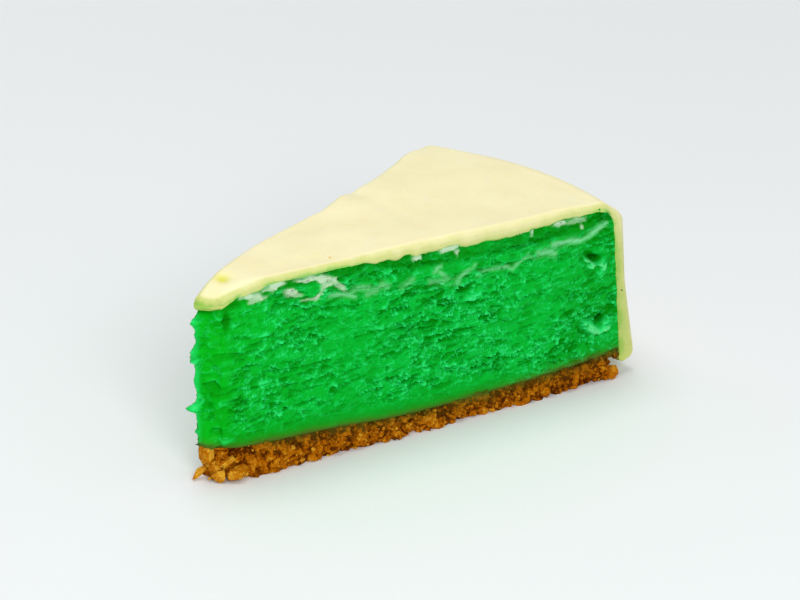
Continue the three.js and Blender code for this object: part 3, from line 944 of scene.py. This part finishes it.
def icing_coat(icing):
    steps = np.linspace(0, 1, ACROSS_STEPS)
    angle = lerp(-HALF_ANGLE, HALF_ANGLE, lerp(steps, smoothstep(steps, 0, 1), ACROSS_CROWDING))[None, :]
    path = icing_path(angle)
    from_cut = path["r"] * np.sin(HALF_ANGLE - np.abs(angle))
    short = np.hypot(np.clip(EDGE_ROUND - from_cut, 0, None), np.clip(EDGE_ROUND - path["from_tip"], 0, None))
    drop = rounded_drop(EDGE_ROUND - short, EDGE_ROUND)
    toward_wall = smoothstep(path["run"], ROUND_RADIUS - BACK_RIM_START, WALL_RADIUS)
    drop = drop * np.where(angle > 0, 1 - BACK_RIM_SHARPER * toward_wall, 1)
    wave = layered(path["run"], angle, SEED, COAT_WAVES) * smoothstep(from_cut, 0, COAT_WAVE_INSET)
    top_skin = coat_place(path, angle + 0 * path["r"], path["thickness"] - drop + wave)
    front, front_height = icing_edge(path, 0, drop)
    back, back_height = icing_edge(path, 1, drop)

    inset = np.minimum(UNDER_INSET / path["r"].max(axis=1, keepdims=True), UNDER_INSET_LIMIT)
    under_angle = np.linspace(1, -1, UNDER_STEPS)[None, :] * (HALF_ANGLE - inset)
    nearest = np.abs(under_angle[..., None] - angle[0]).argmin(axis=-1)
    under = {key: np.take_along_axis(values, nearest, axis=1) for key, values in path.items()}
    hang = UNDER_LIFT - TIP_HANG * (1 - smoothstep(under["from_tip"], 0, UNDER_HANG_REACH))
    under_skin = coat_place(under, under_angle, hang)

    rings = np.concatenate([top_skin, back[:, -2::-1], under_skin, front[:, :-1]], axis=1)
    around = rings.shape[1]
    marks = coat_marks(path, angle, drop, front_height, back_height, around)
    tip_end = drawn_together(rings[0], TIP_BULGE)
    lip_end = drawn_together(rings[-1], LIP_BULGE)
    rings = np.concatenate([tip_end[::-1], rings, lip_end])
    for mark, values in marks.items():
        first = np.repeat(values[:1], len(tip_end), axis=0)
        last = np.repeat(values[-1:], len(lip_end), axis=0)
        marks[mark] = np.concatenate([first, values, last])
    count = len(rings)
    faces = [face[::-1] for face in skin_faces(count, around)]
    faces.append(list(range(around)))
    faces.append(list(range((count - 1) * around, count * around))[::-1])
    piece = make_piece("icing_coat_spread", rings, faces, icing, marks)
    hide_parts("icing_coat")


# The crumb base: a rough pressed core, and crumbs that stand out of it

BASE_ROWS = 30
BASE_CUT_STEPS = 480
BASE_RIM_STEPS = 120
BASE_TIP_STEPS = 18
CORE_RECESS = 0.9
CORE_FLARE = 1.3
TIP_FLARE = -1.6
FLARE_TURNS = (12, 19)
CORE_TOP_GAP = 0.25
CORE_TONE = 0.49
CORE_LUMPS = named_rows(
    "seed length height swell border tone",
    (80, 2.1, 1.7, 0.8, 0.35, 0.12),
    (95, 0.9, 0.8, 0.35, 0.3, 0.2),
)
CREVICE_WIDTH = 0.25
CREVICE_SHADE = 0.25
CORE_TOP_SHADE_AND_STAIN = 0.25
CORE_TOP_SHARES = (0.55, 1)
CLEAR_OF_TIP = (14, 30)
TIP_PALER = 0.13
RIM_DARKER = 0.07
RIM_DARKENS = (50, 110)
SOAK_SHADE_DEPTH = 1.1
SOAK_SHADE_FULL = 0.2
SOAK_SHADE_STARTS = (14, 26)
TIP_HOLLOW = {"r": 15.8, "z": 5.2, "length": 2.6, "height": 2.4, "depth": 1.3}
TIP_HOLLOW_SHADE = 0.2
SIDE_NUMBER = {FRONT: 0, BACK: 1, RIM: 2, TIP: 3}


def side_run(side, r, angle):
    """How far along one side of the base each place is."""
    if side in (FRONT, BACK):
        return r
    return angle * (BASE_RIM if side == RIM else CRUMB_LENGTH)


def base_flare(r, share_up):
    """How far the side of the base stands out at each share of its height: more toward the floor, but less
    so at the tip."""
    return lerp(TIP_FLARE, CORE_FLARE, smoothstep(r, *FLARE_TURNS)) * (1 - share_up) - CORE_RECESS


def soak_and_shade_share(r, z):
    """How much of the filling has soaked into each place of the base, from its top down, with painted shade
    under the filling in the same mark.
    """
    below = np.clip(base_top(r) - z - SOAK_SHADE_FULL, 0, None)
    return smoothstep(r, *SOAK_SHADE_STARTS) * np.exp(-below / SOAK_SHADE_DEPTH)


def darker_along(r):
    """How much darker the crumb is away from the tip."""
    return TIP_PALER * smoothstep(r, *CLEAR_OF_TIP) + RIM_DARKER * smoothstep(r, *RIM_DARKENS)


def base_core(crumb):
    loop = WedgeLoop(BASE_CUT_STEPS, BASE_RIM_STEPS, BASE_TIP_STEPS)
    tip = loop.tip + BASE_TIP_SETBACK
    r = lerp(tip, BASE_RIM, loop.share)
    share_up = np.linspace(0, 1, BASE_ROWS)[:, None]
    z = share_up * (base_top(r) - CORE_TOP_GAP)
    flat = soften_corners(place(r, loop.angle, z)[..., :2])
    relief = np.zeros(z.shape)
    tone = np.full(z.shape, CORE_TONE)
    for side in (FRONT, RIM, BACK, TIP):
        at = loop.side == side
        run = side_run(side, r[at], loop.angle[at]) + 0 * z[:, at]
        relief[:, at] = crumb_relief(run, z[:, at], SIDE_NUMBER[side])
        for lump in CORE_LUMPS:
            seed = SEED + lump["seed"] + 3 * side
            edge, own = cells(run / lump["length"], z[:, at] / lump["height"], seed)[:2]
            relief[:, at] += lump["swell"] * own * smoothstep(edge, 0, lump["border"])
            tone[:, at] += lump["tone"] * own
        # The crevices are those of the finest lumps, which come last; they get painted shade
        tone[:, at] -= CREVICE_SHADE * (1 - smoothstep(edge, 0, CREVICE_WIDTH))
    relief = relief + base_flare(r, share_up) - pit_depth(r, z, [TIP_HOLLOW]) * (loop.side == FRONT)
    flat = flat + outward_of(flat) * relief[..., None]
    corners = np.concatenate([flat, z[..., None]], axis=-1)
    # Darker at the top under the filling: painted shade, and some stain.
    tone = tone - CORE_TOP_SHADE_AND_STAIN * smoothstep(share_up, *CORE_TOP_SHARES) * smoothstep(r, *CLEAR_OF_TIP)
    # Painted shade in the tip's hollow.
    tone = tone - darker_along(r) - TIP_HOLLOW_SHADE * pit_depth(r, z, [TIP_HOLLOW])
    marks = {"tone": tone, "soaked_and_shaded": soak_and_shade_share(r, z)}
    caps = loop.cap(0, False) + loop.cap((BASE_ROWS - 1) * loop.count, True)
    faces = skin_faces(BASE_ROWS, loop.count) + caps
    piece = make_piece("crumb_base_core", corners, faces, crumb, marks, len(caps))
    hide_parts("crumb_base")


CRUMB_SHARES = {FRONT: 0.39, BACK: 0.39, RIM: 0.17, TIP: 0.05}
CLUMPS, CRUMBS, GRAINS = named_rows(
    "count radius squash tone detail sunk floor_gap top_gap",
    (280, (1.0, 1.9), (0.65, 1.1), (0.34, 0.74), 3, 0.3, 0.4, 0.6),
    (560, (0.35, 0.8), (0.6, 1.1), (0.19, 0.94), 2, 0.2, 0.3, 0.5),
    (700, (0.2, 0.4), (0.6, 1.1), (0.19, 0.94), 1, 0.2, 0.3, 0.5),
)
TOWARD_RIM = (0, 35)
RIM_COARSER = 1.3
RIM_SPARSE = 0.6
HOLLOW_SHRINK = 0.6
HOLLOW_BARE = 0.4
CLUMP_TOP_SHADE_AND_STAIN = 0.15
CRUMB_TOP_SHADE_AND_STAIN = 0.25
CRUMB_TOP_SHARES = (0.6, 1)
CRUMB_FOOT_PALER = 0.25
CRUMB_FOOT_SHARE = 0.2
CARRIED_SHARE = 0.6
CARRIED_OUTWARD = 1.2
CARRIED_REACH = 0.85
UNEVEN = 0.07
UNEVEN_LIMIT = 1.7
CHIPS = 5
CHIP_PLACES = (0.45, 0.8)
BLOCKY = 0.5
TIP_FACING = np.array([-0.5, -0.85, 0])
SPECIAL_DETAIL = 3
TIP_CHUNKS = named_rows(
    "r angle z sizes tilt tone",
    (10.9, radians(5), 6, (1.9, 1.7, 2.9), 0.0, 0.67),
    (12.6, radians(1), 3.2, (2.2, 1.7, 1.4), -0.5, 0.65),
    (13.4, radians(-11), 4.5, (1.8, 1.2, 1.2), -0.6, 0.68),
    (11.8, radians(-8), 1.5, (1.7, 1.5, 1.4), -0.3, 0.74),
    (15.3, radians(-16), 1.9, (2.7, 1.4, 1.7), -0.2, 0.69),
)
SPECIAL_CRUMBS = named_rows(
    "r angle z sizes tilt tone",
    (9.95, radians(15.2), 1.7, (2.5, 0.8, 0.8), -0.4, 0.7),
    (115.5, radians(-14.3), 1.5, (1.8, 1.2, 1.6), 0, 0.62),
    (115.2, radians(-14), 6.3, (1.7, 0.9, 1.4), 0, 0.2),
    (116.4, radians(-14.1), 5.9, (1.2, 0.8, 1.3), 0, 0.3),
    (39.8, radians(-9.6), 45.2, (0.25, 0.18, 0.18), 0, 0.95),
    (117, radians(-14.3), 22.2, (0.16, 0.3, 0.2), 0, 0.6),
)


def round_crumb(detail):
    """Corners and faces of a round crumb before it is misshapen."""
    bpy.ops.mesh.primitive_ico_sphere_add(subdivisions=detail, radius=1)
    made = bpy.context.object
    mesh = made.data
    corners = np.array([corner.co[:] for corner in mesh.vertices])
    faces = np.array([list(face.vertices) for face in mesh.polygons])
    bpy.data.objects.remove(made)
    bpy.data.meshes.remove(mesh)
    return corners, faces


class CrumbHeap:
    """Crumbs gathered into one mesh."""

    def __init__(self):
        self.random = np.random.default_rng(SEED)
        self.forms = {detail: round_crumb(detail) for detail in (1, 2, 3)}
        self.corners = []
        self.faces = []
        self.tones = []
        self.count = 0

    def add(self, middle, sizes, detail, tone, tilt=None):
        """Adds one crumb, turned any way or, with a tilt, a blocky one turned only that far about its
        y axis."""
        form, faces = self.forms[detail]
        if tilt is not None:
            form = form / np.abs(form).max(axis=1, keepdims=True) ** BLOCKY
        uneven = self.random.normal(size=len(form)).clip(-UNEVEN_LIMIT, UNEVEN_LIMIT)
        shape = form * (1 + UNEVEN * uneven)[:, None]
        for way in self.random.normal(size=(CHIPS, 3)):
            way = way / np.linalg.norm(way)
            over = np.clip(shape @ way - self.random.uniform(*CHIP_PLACES), 0, None)
            shape = shape - over[:, None] * way
        shape = shape * np.asarray(sizes)
        turn = Matrix.Rotation(tilt or 0, 3, "Y")
        if tilt is None:
            turn = Matrix.Rotation(self.random.uniform(0, 2 * pi), 3, Vector(self.random.normal(size=3)))
        grown = shape @ np.array(turn).T + middle
        grown[:, 2] = np.maximum(grown[:, 2], 0)
        self.corners.append(grown)
        self.faces.append(faces + self.count)
        self.tones.append(np.full(len(form), tone))
        self.count += len(form)

    def places(self, count):
        """Drawn places on the sides of the base, with the direction that points out of it there."""
        sides = self.random.choice(list(CRUMB_SHARES), size=count, p=list(CRUMB_SHARES.values()))
        share = self.random.random(count)
        turned = lerp(-HALF_ANGLE, HALF_ANGLE, share)
        angle = np.where(sides == FRONT, -HALF_ANGLE, HALF_ANGLE)
        angle = np.where((sides == RIM) | (sides == TIP), turned, angle)
        tip = tip_radius(angle) + BASE_TIP_SETBACK
        r = lerp(tip, BASE_RIM, share)
        r = np.where(sides == RIM, BASE_RIM, np.where(sides == TIP, tip, r))
        z = self.random.random(count) * base_top(r)
        facing = np.where(sides == FRONT, -HALF_ANGLE - pi / 2, HALF_ANGLE + pi / 2)
        facing = np.where(sides == RIM, angle, np.where(sides == TIP, pi + angle, facing))
        relief = np.zeros(count)
        for side in CRUMB_SHARES:
            at = sides == side
            relief[at] = crumb_relief(side_run(side, r[at], angle[at]), z[at], SIDE_NUMBER[side])
        out = np.stack([np.cos(facing), np.sin(facing), np.zeros(count)], axis=-1)
        share_up = z / base_top(r)
        return place(r, angle, z) + out * (relief + base_flare(r, share_up))[:, None], out, share_up


def base_crumbs(crumb):
    heap = CrumbHeap()
    random = heap.random
    clumps = []
    for middle, out, share_up in zip(*heap.places(CLUMPS["count"])):
        shaded_hollow = pit_depth(middle[0] + SLICE_MIDDLE, middle[2], [TIP_HOLLOW])
        radius = random.uniform(*CLUMPS["radius"]) * (1 - HOLLOW_SHRINK * shaded_hollow)
        radius = radius * lerp(1, RIM_COARSER, smoothstep(middle[0], *TOWARD_RIM))
        middle = middle - out * radius * CLUMPS["sunk"]
        low = CLUMPS["floor_gap"] * radius
        middle[2] = np.clip(middle[2], low, BASE_HEIGHT - CLUMPS["top_gap"] * radius)
        # Clumps higher up are darker: painted shade under the filling, and some stain.
        tone = random.uniform(*CLUMPS["tone"]) - CLUMP_TOP_SHADE_AND_STAIN * share_up
        tone = tone - darker_along(middle[0] + SLICE_MIDDLE)
        heap.add(middle, radius * random.uniform(*CLUMPS["squash"], 3), CLUMPS["detail"], tone)
        clumps.append((middle, radius, out))
    for chunk in TIP_CHUNKS:
        middle = place(chunk["r"], chunk["angle"], chunk["z"])
        heap.add(middle, chunk["sizes"], CLUMPS["detail"], chunk["tone"], chunk["tilt"])
        clumps.append((middle, min(chunk["sizes"]), TIP_FACING))
    for kind in (CRUMBS, GRAINS):
        smooth_faces = sum(len(group) for group in heap.faces)
        for middle, out, share_up in zip(*heap.places(kind["count"])):
            radius = random.uniform(*kind["radius"])
            if random.random() < CARRIED_SHARE:
                middle, carrier, out = clumps[random.integers(len(clumps))]
                toward = random.normal(size=3) + CARRIED_OUTWARD * out
                middle = middle + toward / np.linalg.norm(toward) * carrier * CARRIED_REACH
            in_hollow = pit_depth(middle[0] + SLICE_MIDDLE, middle[2], [TIP_HOLLOW]) > HOLLOW_BARE
            if in_hollow or random.random() < RIM_SPARSE * smoothstep(middle[0], *TOWARD_RIM):
                continue
            middle = middle - out * radius * kind["sunk"]
            from_middle = middle[0] + SLICE_MIDDLE
            high = base_top(from_middle) - kind["top_gap"] * radius
            middle[2] = np.clip(middle[2], kind["floor_gap"] * radius, high)
            # Crumbs near the top are darker: painted shade under the filling, and some stain.
            tone = random.uniform(*kind["tone"]) - CRUMB_TOP_SHADE_AND_STAIN * smoothstep(share_up, *CRUMB_TOP_SHARES)
            tone = tone + CRUMB_FOOT_PALER * (share_up < CRUMB_FOOT_SHARE) - darker_along(from_middle)
            heap.add(middle, radius * random.uniform(*kind["squash"], 3), kind["detail"], tone)
    for special in SPECIAL_CRUMBS:
        middle = place(special["r"], special["angle"], special["z"])
        heap.add(middle, special["sizes"], SPECIAL_DETAIL, special["tone"], special["tilt"])
    faces = [face for group in heap.faces for face in group.tolist()]
    corners = np.concatenate(heap.corners)
    from_middle = np.hypot(corners[:, 0] + SLICE_MIDDLE, corners[:, 1])
    soaked_and_shaded = soak_and_shade_share(from_middle, corners[:, 2]) * (corners[:, 2] < SEAM_HEIGHT)
    marks = {"tone": np.concatenate(heap.tones), "soaked_and_shaded": soaked_and_shaded}
    piece = make_piece("crumb_base_crumbs", corners, faces, crumb, marks, len(faces) - smooth_faces)


# Materials

def wire(tree, value, socket):
    if isinstance(value, bpy.types.NodeSocket):
        tree.links.new(value, socket)
    else:
        socket.default_value = value


def wire_all(tree, made, sockets):
    """Sets or links each named input of a node."""
    for name, value in sockets.items():
        wire(tree, value, made.inputs[name.replace("_", " ")])
    return made


def add(tree, kind, settings=None, **sockets):
    """A shader node with its settings, and each named input set or linked."""
    made = tree.nodes.new("ShaderNode" + kind)
    for name, value in (settings or {}).items():
        setattr(made, name, value)
    return wire_all(tree, made, sockets)


def mixed(tree, share, first, second):
    """A colour between two others."""
    made = tree.nodes.new("ShaderNodeMix")
    made.data_type = "RGBA"
    wire(tree, share, made.inputs[0])
    wire(tree, first, made.inputs[6])
    wire(tree, second, made.inputs[7])
    return made.outputs[2]


def mark(tree, name):
    return add(tree, "Attribute", {"attribute_name": name}).outputs["Fac"]


def ramp(tree, value, low, high, to_low=0.0, to_high=1.0):
    ends = {"From_Min": low, "From_Max": high, "To_Min": to_low, "To_Max": to_high}
    made = add(tree, "MapRange", {"interpolation_type": "SMOOTHSTEP"}, Value=value, **ends)
    return made.outputs["Result"]


def reckoned(tree, operation, first, second):
    made = add(tree, "Math", {"operation": operation})
    wire(tree, first, made.inputs[0])
    wire(tree, second, made.inputs[1])
    return made.outputs[0]


def times(tree, first, second):
    return reckoned(tree, "MULTIPLY", first, second)


def bump(tree, height, strength, distance):
    return add(tree, "Bump", Height=height, Strength=strength, Distance=distance * MM).outputs["Normal"]


def new_group(name, inputs, outputs):
    group = bpy.data.node_groups.new(name, "ShaderNodeTree")
    for socket, kind, value in inputs:
        made = group.interface.new_socket(socket, in_out="INPUT", socket_type="NodeSocket" + kind)
        made.default_value = value
    for socket, kind in outputs:
        group.interface.new_socket(socket, in_out="OUTPUT", socket_type="NodeSocket" + kind)
    return group, group.nodes.new("NodeGroupInput").outputs, group.nodes.new("NodeGroupOutput").inputs


def place_group(tree, group, **sockets):
    made = tree.nodes.new("ShaderNodeGroup")
    made.node_tree = group
    return wire_all(tree, made, sockets).outputs


def mottle_group():
    """Soft patches and a fine grain, both from 0 to 1, at a given number of each to the metre."""
    inputs = [("Patches", "Float", 200.0), ("Grains", "Float", 1500.0)]
    group, given, result = new_group("mottle", inputs, [("Patch", "Float"), ("Grain", "Float")])
    where = add(group, "TexCoord").outputs["Object"]
    for spot, scale, detail, rough in (("Patch", "Patches", 3.0, 0.55), ("Grain", "Grains", 2.0, 0.6)):
        cloud = add(group, "TexNoise", Vector=where, Scale=given[scale], Detail=detail, Roughness=rough)
        group.links.new(ramp(group, cloud.outputs["Fac"], 0.3, 0.7), result[spot])
    return group


def torn_tint_and_painted_light_group():
    """The colour of a torn cut: painted shade in its hollows and holes, a paler colour on its crests that is
    partly painted highlight, with streaks of cream, smears of icing and a brown stain where it meets the
    crumb."""
    colours = [
        ("Plain", (0.001, 0.42, 0.035, 1)),
        # The shaded hollow and hole colours are painted shade; the crest colour is partly painted highlight.
        ("Shaded_hollow", (0.0, 0.25, 0.001, 1)),
        ("Crest", (0.02, 0.85, 0.19, 1)),
        ("Hole_shade", (0.0, 0.12, 0.002, 1)),
        ("Cream", (0.2, 0.68, 0.29, 1)),
        ("Smear", (0.5, 0.71, 0.46, 1)),
        ("Stain", (0.067, 0.145, 0.012, 1)),
    ]
    inputs = [(name, "Color", colour) for name, colour in colours]
    group, given, result = new_group("torn_tint_and_painted_light", inputs, [("Colour", "Color")])
    colour = given["Plain"]
    for name in ("Shaded_hollow", "Crest", "Hole_shade", "Cream", "Smear", "Stain"):
        colour = mixed(group, mark(group, name.lower()), colour, given[name])
    group.links.new(colour, result["Colour"])
    return group


def new_material(name, specular, soft_weight=0.0, soft_radius=(1, 1, 1), soft_depth=1.0):
    """A material with its plain values set on the shader: gloss, and light that soaks in."""
    material = bpy.data.materials.new(name)
    material.use_nodes = True
    tree = material.node_tree
    finish = tree.nodes["Principled BSDF"].inputs
    finish["Specular IOR Level"].default_value = specular
    finish["Subsurface Weight"].default_value = soft_weight
    finish["Subsurface Radius"].default_value = soft_radius
    finish["Subsurface Scale"].default_value = soft_depth * MM
    return material, tree, finish


PLAIN_LIME = (0.0005, 0.44, 0.026, 1)
FRESH_LIME = (0.0005, 0.49, 0.036, 1)
HAZY_LIME = (0.003, 0.47, 0.05, 1)
SHADED_LIME = (0.0, 0.24, 0.0, 1)
TIP_LIME = (0.0005, 0.46, 0.009, 1)
GRAIN_LIME = (0.02, 0.8, 0.15, 1)


def lime_material(name, mottle, torn_tint_and_painted_light, plain, fresh, shaded=None):
    material, tree, finish = new_material(name, 0.03)
    spots = place_group(tree, mottle, Patches=240.0, Grains=1900.0)
    base = mixed(tree, spots["Patch"], plain, fresh)
    base = mixed(tree, mark(tree, "tip"), base, TIP_LIME)
    grain = times(tree, spots["Grain"], mark(tree, "grain"))
    base = mixed(tree, ramp(tree, grain, 0.55, 1, 0.0, 0.3), base, GRAIN_LIME)
    colour = place_group(tree, torn_tint_and_painted_light, Plain=base)["Colour"]
    if shaded:
        dimmed = times(tree, mark(tree, "shade"), ramp(tree, spots["Patch"], 0, 0.7, 0.4, 0.85))
        colour = mixed(tree, dimmed, colour, shaded)
    tree.links.new(colour, finish["Base Color"])
    tree.links.new(ramp(tree, spots["Grain"], 0, 1, 0.3, 0.5), finish["Roughness"])
    tree.links.new(ramp(tree, mark(tree, "crest"), 0.3, 1.0, 0.0, 0.25), finish["Coat Weight"])
    finish["Coat Roughness"].default_value = 0.25
    tree.links.new(bump(tree, grain, 0.7, 0.2), finish["Normal"])
    return material


PALE_ICING = (0.88, 0.81, 0.5, 1)
WARM_ICING = (0.85, 0.77, 0.45, 1)
# The tinted and lowest icing colours are partly green showing through the thin edge and partly painted shade.
TINTED_SHADED_ICING = (0.62, 0.65, 0.24, 1)
TINTED_WALL = (0.54, 0.6, 0.18, 1)
LOWEST_SHADED_ICING = (0.28, 0.58, 0.1, 1)
LOWEST_WALL = (0.27, 0.5, 0.07, 1)
DENTED_ICING = (0.7, 0.68, 0.1, 1)


def icing_material(mottle):
    material, tree, finish = new_material("cream_icing", 0.2, 0.35, (1.0, 0.8, 0.35), 1.6)
    spots = place_group(tree, mottle, Patches=90.0, Grains=900.0)
    blots = place_group(tree, mottle, Patches=320.0, Grains=900.0)
    base = mixed(tree, spots["Patch"], WARM_ICING, PALE_ICING)
    tinted = mixed(tree, mark(tree, "wall"), TINTED_SHADED_ICING, TINTED_WALL)
    lowest = mixed(tree, mark(tree, "wall"), LOWEST_SHADED_ICING, LOWEST_WALL)
    shown = times(tree, mark(tree, "skirt_tint_and_shade"), ramp(tree, blots["Patch"], 0, 1, 0.75, 1.0))
    colour = mixed(tree, ramp(tree, shown, 0.0, 0.5), base, tinted)
    colour = mixed(tree, ramp(tree, shown, 0.5, 1.0), colour, lowest)
    colour = mixed(tree, mark(tree, "dent"), colour, DENTED_ICING)
    tree.links.new(colour, finish["Base Color"])
    tree.links.new(ramp(tree, spots["Grain"], 0, 1, 0.36, 0.5), finish["Roughness"])
    tree.links.new(bump(tree, spots["Grain"], 0.15, 0.15), finish["Normal"])
    return material


DARK_CRUMB = (0.1, 0.017, 0.0, 1)
BROWN_CRUMB = (0.52, 0.15, 0.0, 1)
GOLDEN_CRUMB = (0.83, 0.44, 0.032, 1)
# The soaked colour is the filling soaked into the crumb, darkened as painted shade under the filling.
SOAKED_SHADED_CRUMB = (0.085, 0.12, 0.009, 1)


def crumb_material(mottle):
    material, tree, finish = new_material("biscuit_crumb", 0.03)
    spots = place_group(tree, mottle, Patches=500.0, Grains=1700.0)
    tone = reckoned(tree, "ADD", mark(tree, "tone"), ramp(tree, spots["Grain"], 0, 1, -0.1, 0.1))
    tone = reckoned(tree, "ADD", tone, ramp(tree, spots["Patch"], 0, 1, -0.16, 0.16))
    base = mixed(tree, ramp(tree, tone, 0.0, 0.5), DARK_CRUMB, BROWN_CRUMB)
    colour = mixed(tree, ramp(tree, tone, 0.45, 1.0), base, GOLDEN_CRUMB)
    colour = mixed(tree, mark(tree, "soaked_and_shaded"), colour, SOAKED_SHADED_CRUMB)
    tree.links.new(colour, finish["Base Color"])
    tree.links.new(ramp(tree, spots["Grain"], 0, 1, 0.5, 0.85), finish["Roughness"])
    tree.links.new(bump(tree, spots["Grain"], 0.8, 0.3), finish["Normal"])
    return material


# The pale floor, the soft light and the camera, with their lengths in metres

FLOOR_HALF = 1.6
FLOOR_NEAR = (0.8, 0.82, 0.82, 1)
FLOOR_CLOUD = (0.83, 0.85, 0.85, 1)
# Painted light: the floor turns lighter far from the slice.
FLOOR_FAR_LIT = (0.98, 0.99, 0.99, 1)
SKY_COLOUR = (0.96, 0.98, 1.0, 1)
SKY_STRENGTH = 0.5
LIGHTS = named_rows(
    "name position target size power",
    ("overhead", (-0.1, 0.1, 0.9), (0, 0, 0), 0.6, 3.5),
    ("front", (-0.5, -0.8, 0.6), (0, 0, 0.02), 0.5, 5.5),
)


def pale_floor():
    material, tree, finish = new_material("pale_floor", 0.2)
    where = add(tree, "TexCoord").outputs["Object"]
    cloud = add(tree, "TexNoise", Vector=where, Scale=6.0, Detail=2.0).outputs["Fac"]
    away = add(tree, "VectorMath", {"operation": "LENGTH"}, Vector=where).outputs["Value"]
    tint = mixed(tree, cloud, FLOOR_NEAR, FLOOR_CLOUD)
    tint = mixed(tree, ramp(tree, away, 0.1, 0.6), tint, FLOOR_FAR_LIT)
    tree.links.new(tint, finish["Base Color"])
    finish["Roughness"].default_value = 0.6
    signs = [(-1, -1), (1, -1), (1, 1), (-1, 1)]
    mesh = bpy.data.meshes.new("floor")
    mesh.from_pydata([(x * FLOOR_HALF, y * FLOOR_HALF, 0) for x, y in signs], [], [(0, 1, 2, 3)])
    mesh.materials.append(material)
    floor = bpy.data.objects.new("floor", mesh)
    bpy.context.scene.collection.objects.link(floor)


def soft_light(name, position, target, size, power):
    light = bpy.data.lights.new(name, "AREA")
    light.shape = "DISK"
    light.size = size
    light.energy = power
    lamp = bpy.data.objects.new(name, light)
    lamp.location = position
    lamp.rotation_euler = (Vector(target) - Vector(position)).to_track_quat("-Z", "Y").to_euler()
    bpy.context.scene.collection.objects.link(lamp)


def studio():
    world = bpy.data.worlds.new("studio")
    world.use_nodes = True
    sky = world.node_tree.nodes["Background"].inputs
    sky["Color"].default_value = SKY_COLOUR
    sky["Strength"].default_value = SKY_STRENGTH
    scene = bpy.context.scene
    scene.world = world
    for light in LIGHTS:
        soft_light(**light)
    scene.view_settings.view_transform = "Standard"


def photo_camera():
    level = cos(CAMERA_ELEVATION)
    back = Vector((level * sin(CAMERA_AZIMUTH), -level * cos(CAMERA_AZIMUTH), sin(CAMERA_ELEVATION)))
    right = Vector((-back.y, back.x, 0)).normalized()
    up = back.cross(right)
    turned_right = right * cos(CAMERA_ROLL) + up * sin(CAMERA_ROLL)
    turned_up = back.cross(turned_right)
    lens = bpy.data.cameras.new("photo_view")
    lens.lens = CAMERA_LENS
    camera = bpy.data.objects.new("photo_view", lens)
    spin = Matrix((turned_right, turned_up, back)).transposed().to_4x4()
    camera.matrix_world = Matrix.Translation(CAMERA_AIM + back * CAMERA_DISTANCE) @ spin
    bpy.context.scene.collection.objects.link(camera)
    bpy.context.scene.camera = camera


mottle = mottle_group()
torn_tint_and_painted_light = torn_tint_and_painted_light_group()
lime = lime_material("lime_filling", mottle, torn_tint_and_painted_light, PLAIN_LIME, FRESH_LIME)
seam = lime_material("cream_seam", mottle, torn_tint_and_painted_light, PLAIN_LIME, HAZY_LIME)
lime_top = lime_material("lime_top_layer", mottle, torn_tint_and_painted_light, PLAIN_LIME, FRESH_LIME, SHADED_LIME)
crumb = crumb_material(mottle)
lime_body(lime, seam, lime_top)
icing_coat(icing_material(mottle))
base_core(crumb)
base_crumbs(crumb)
pale_floor()
studio()
photo_camera()
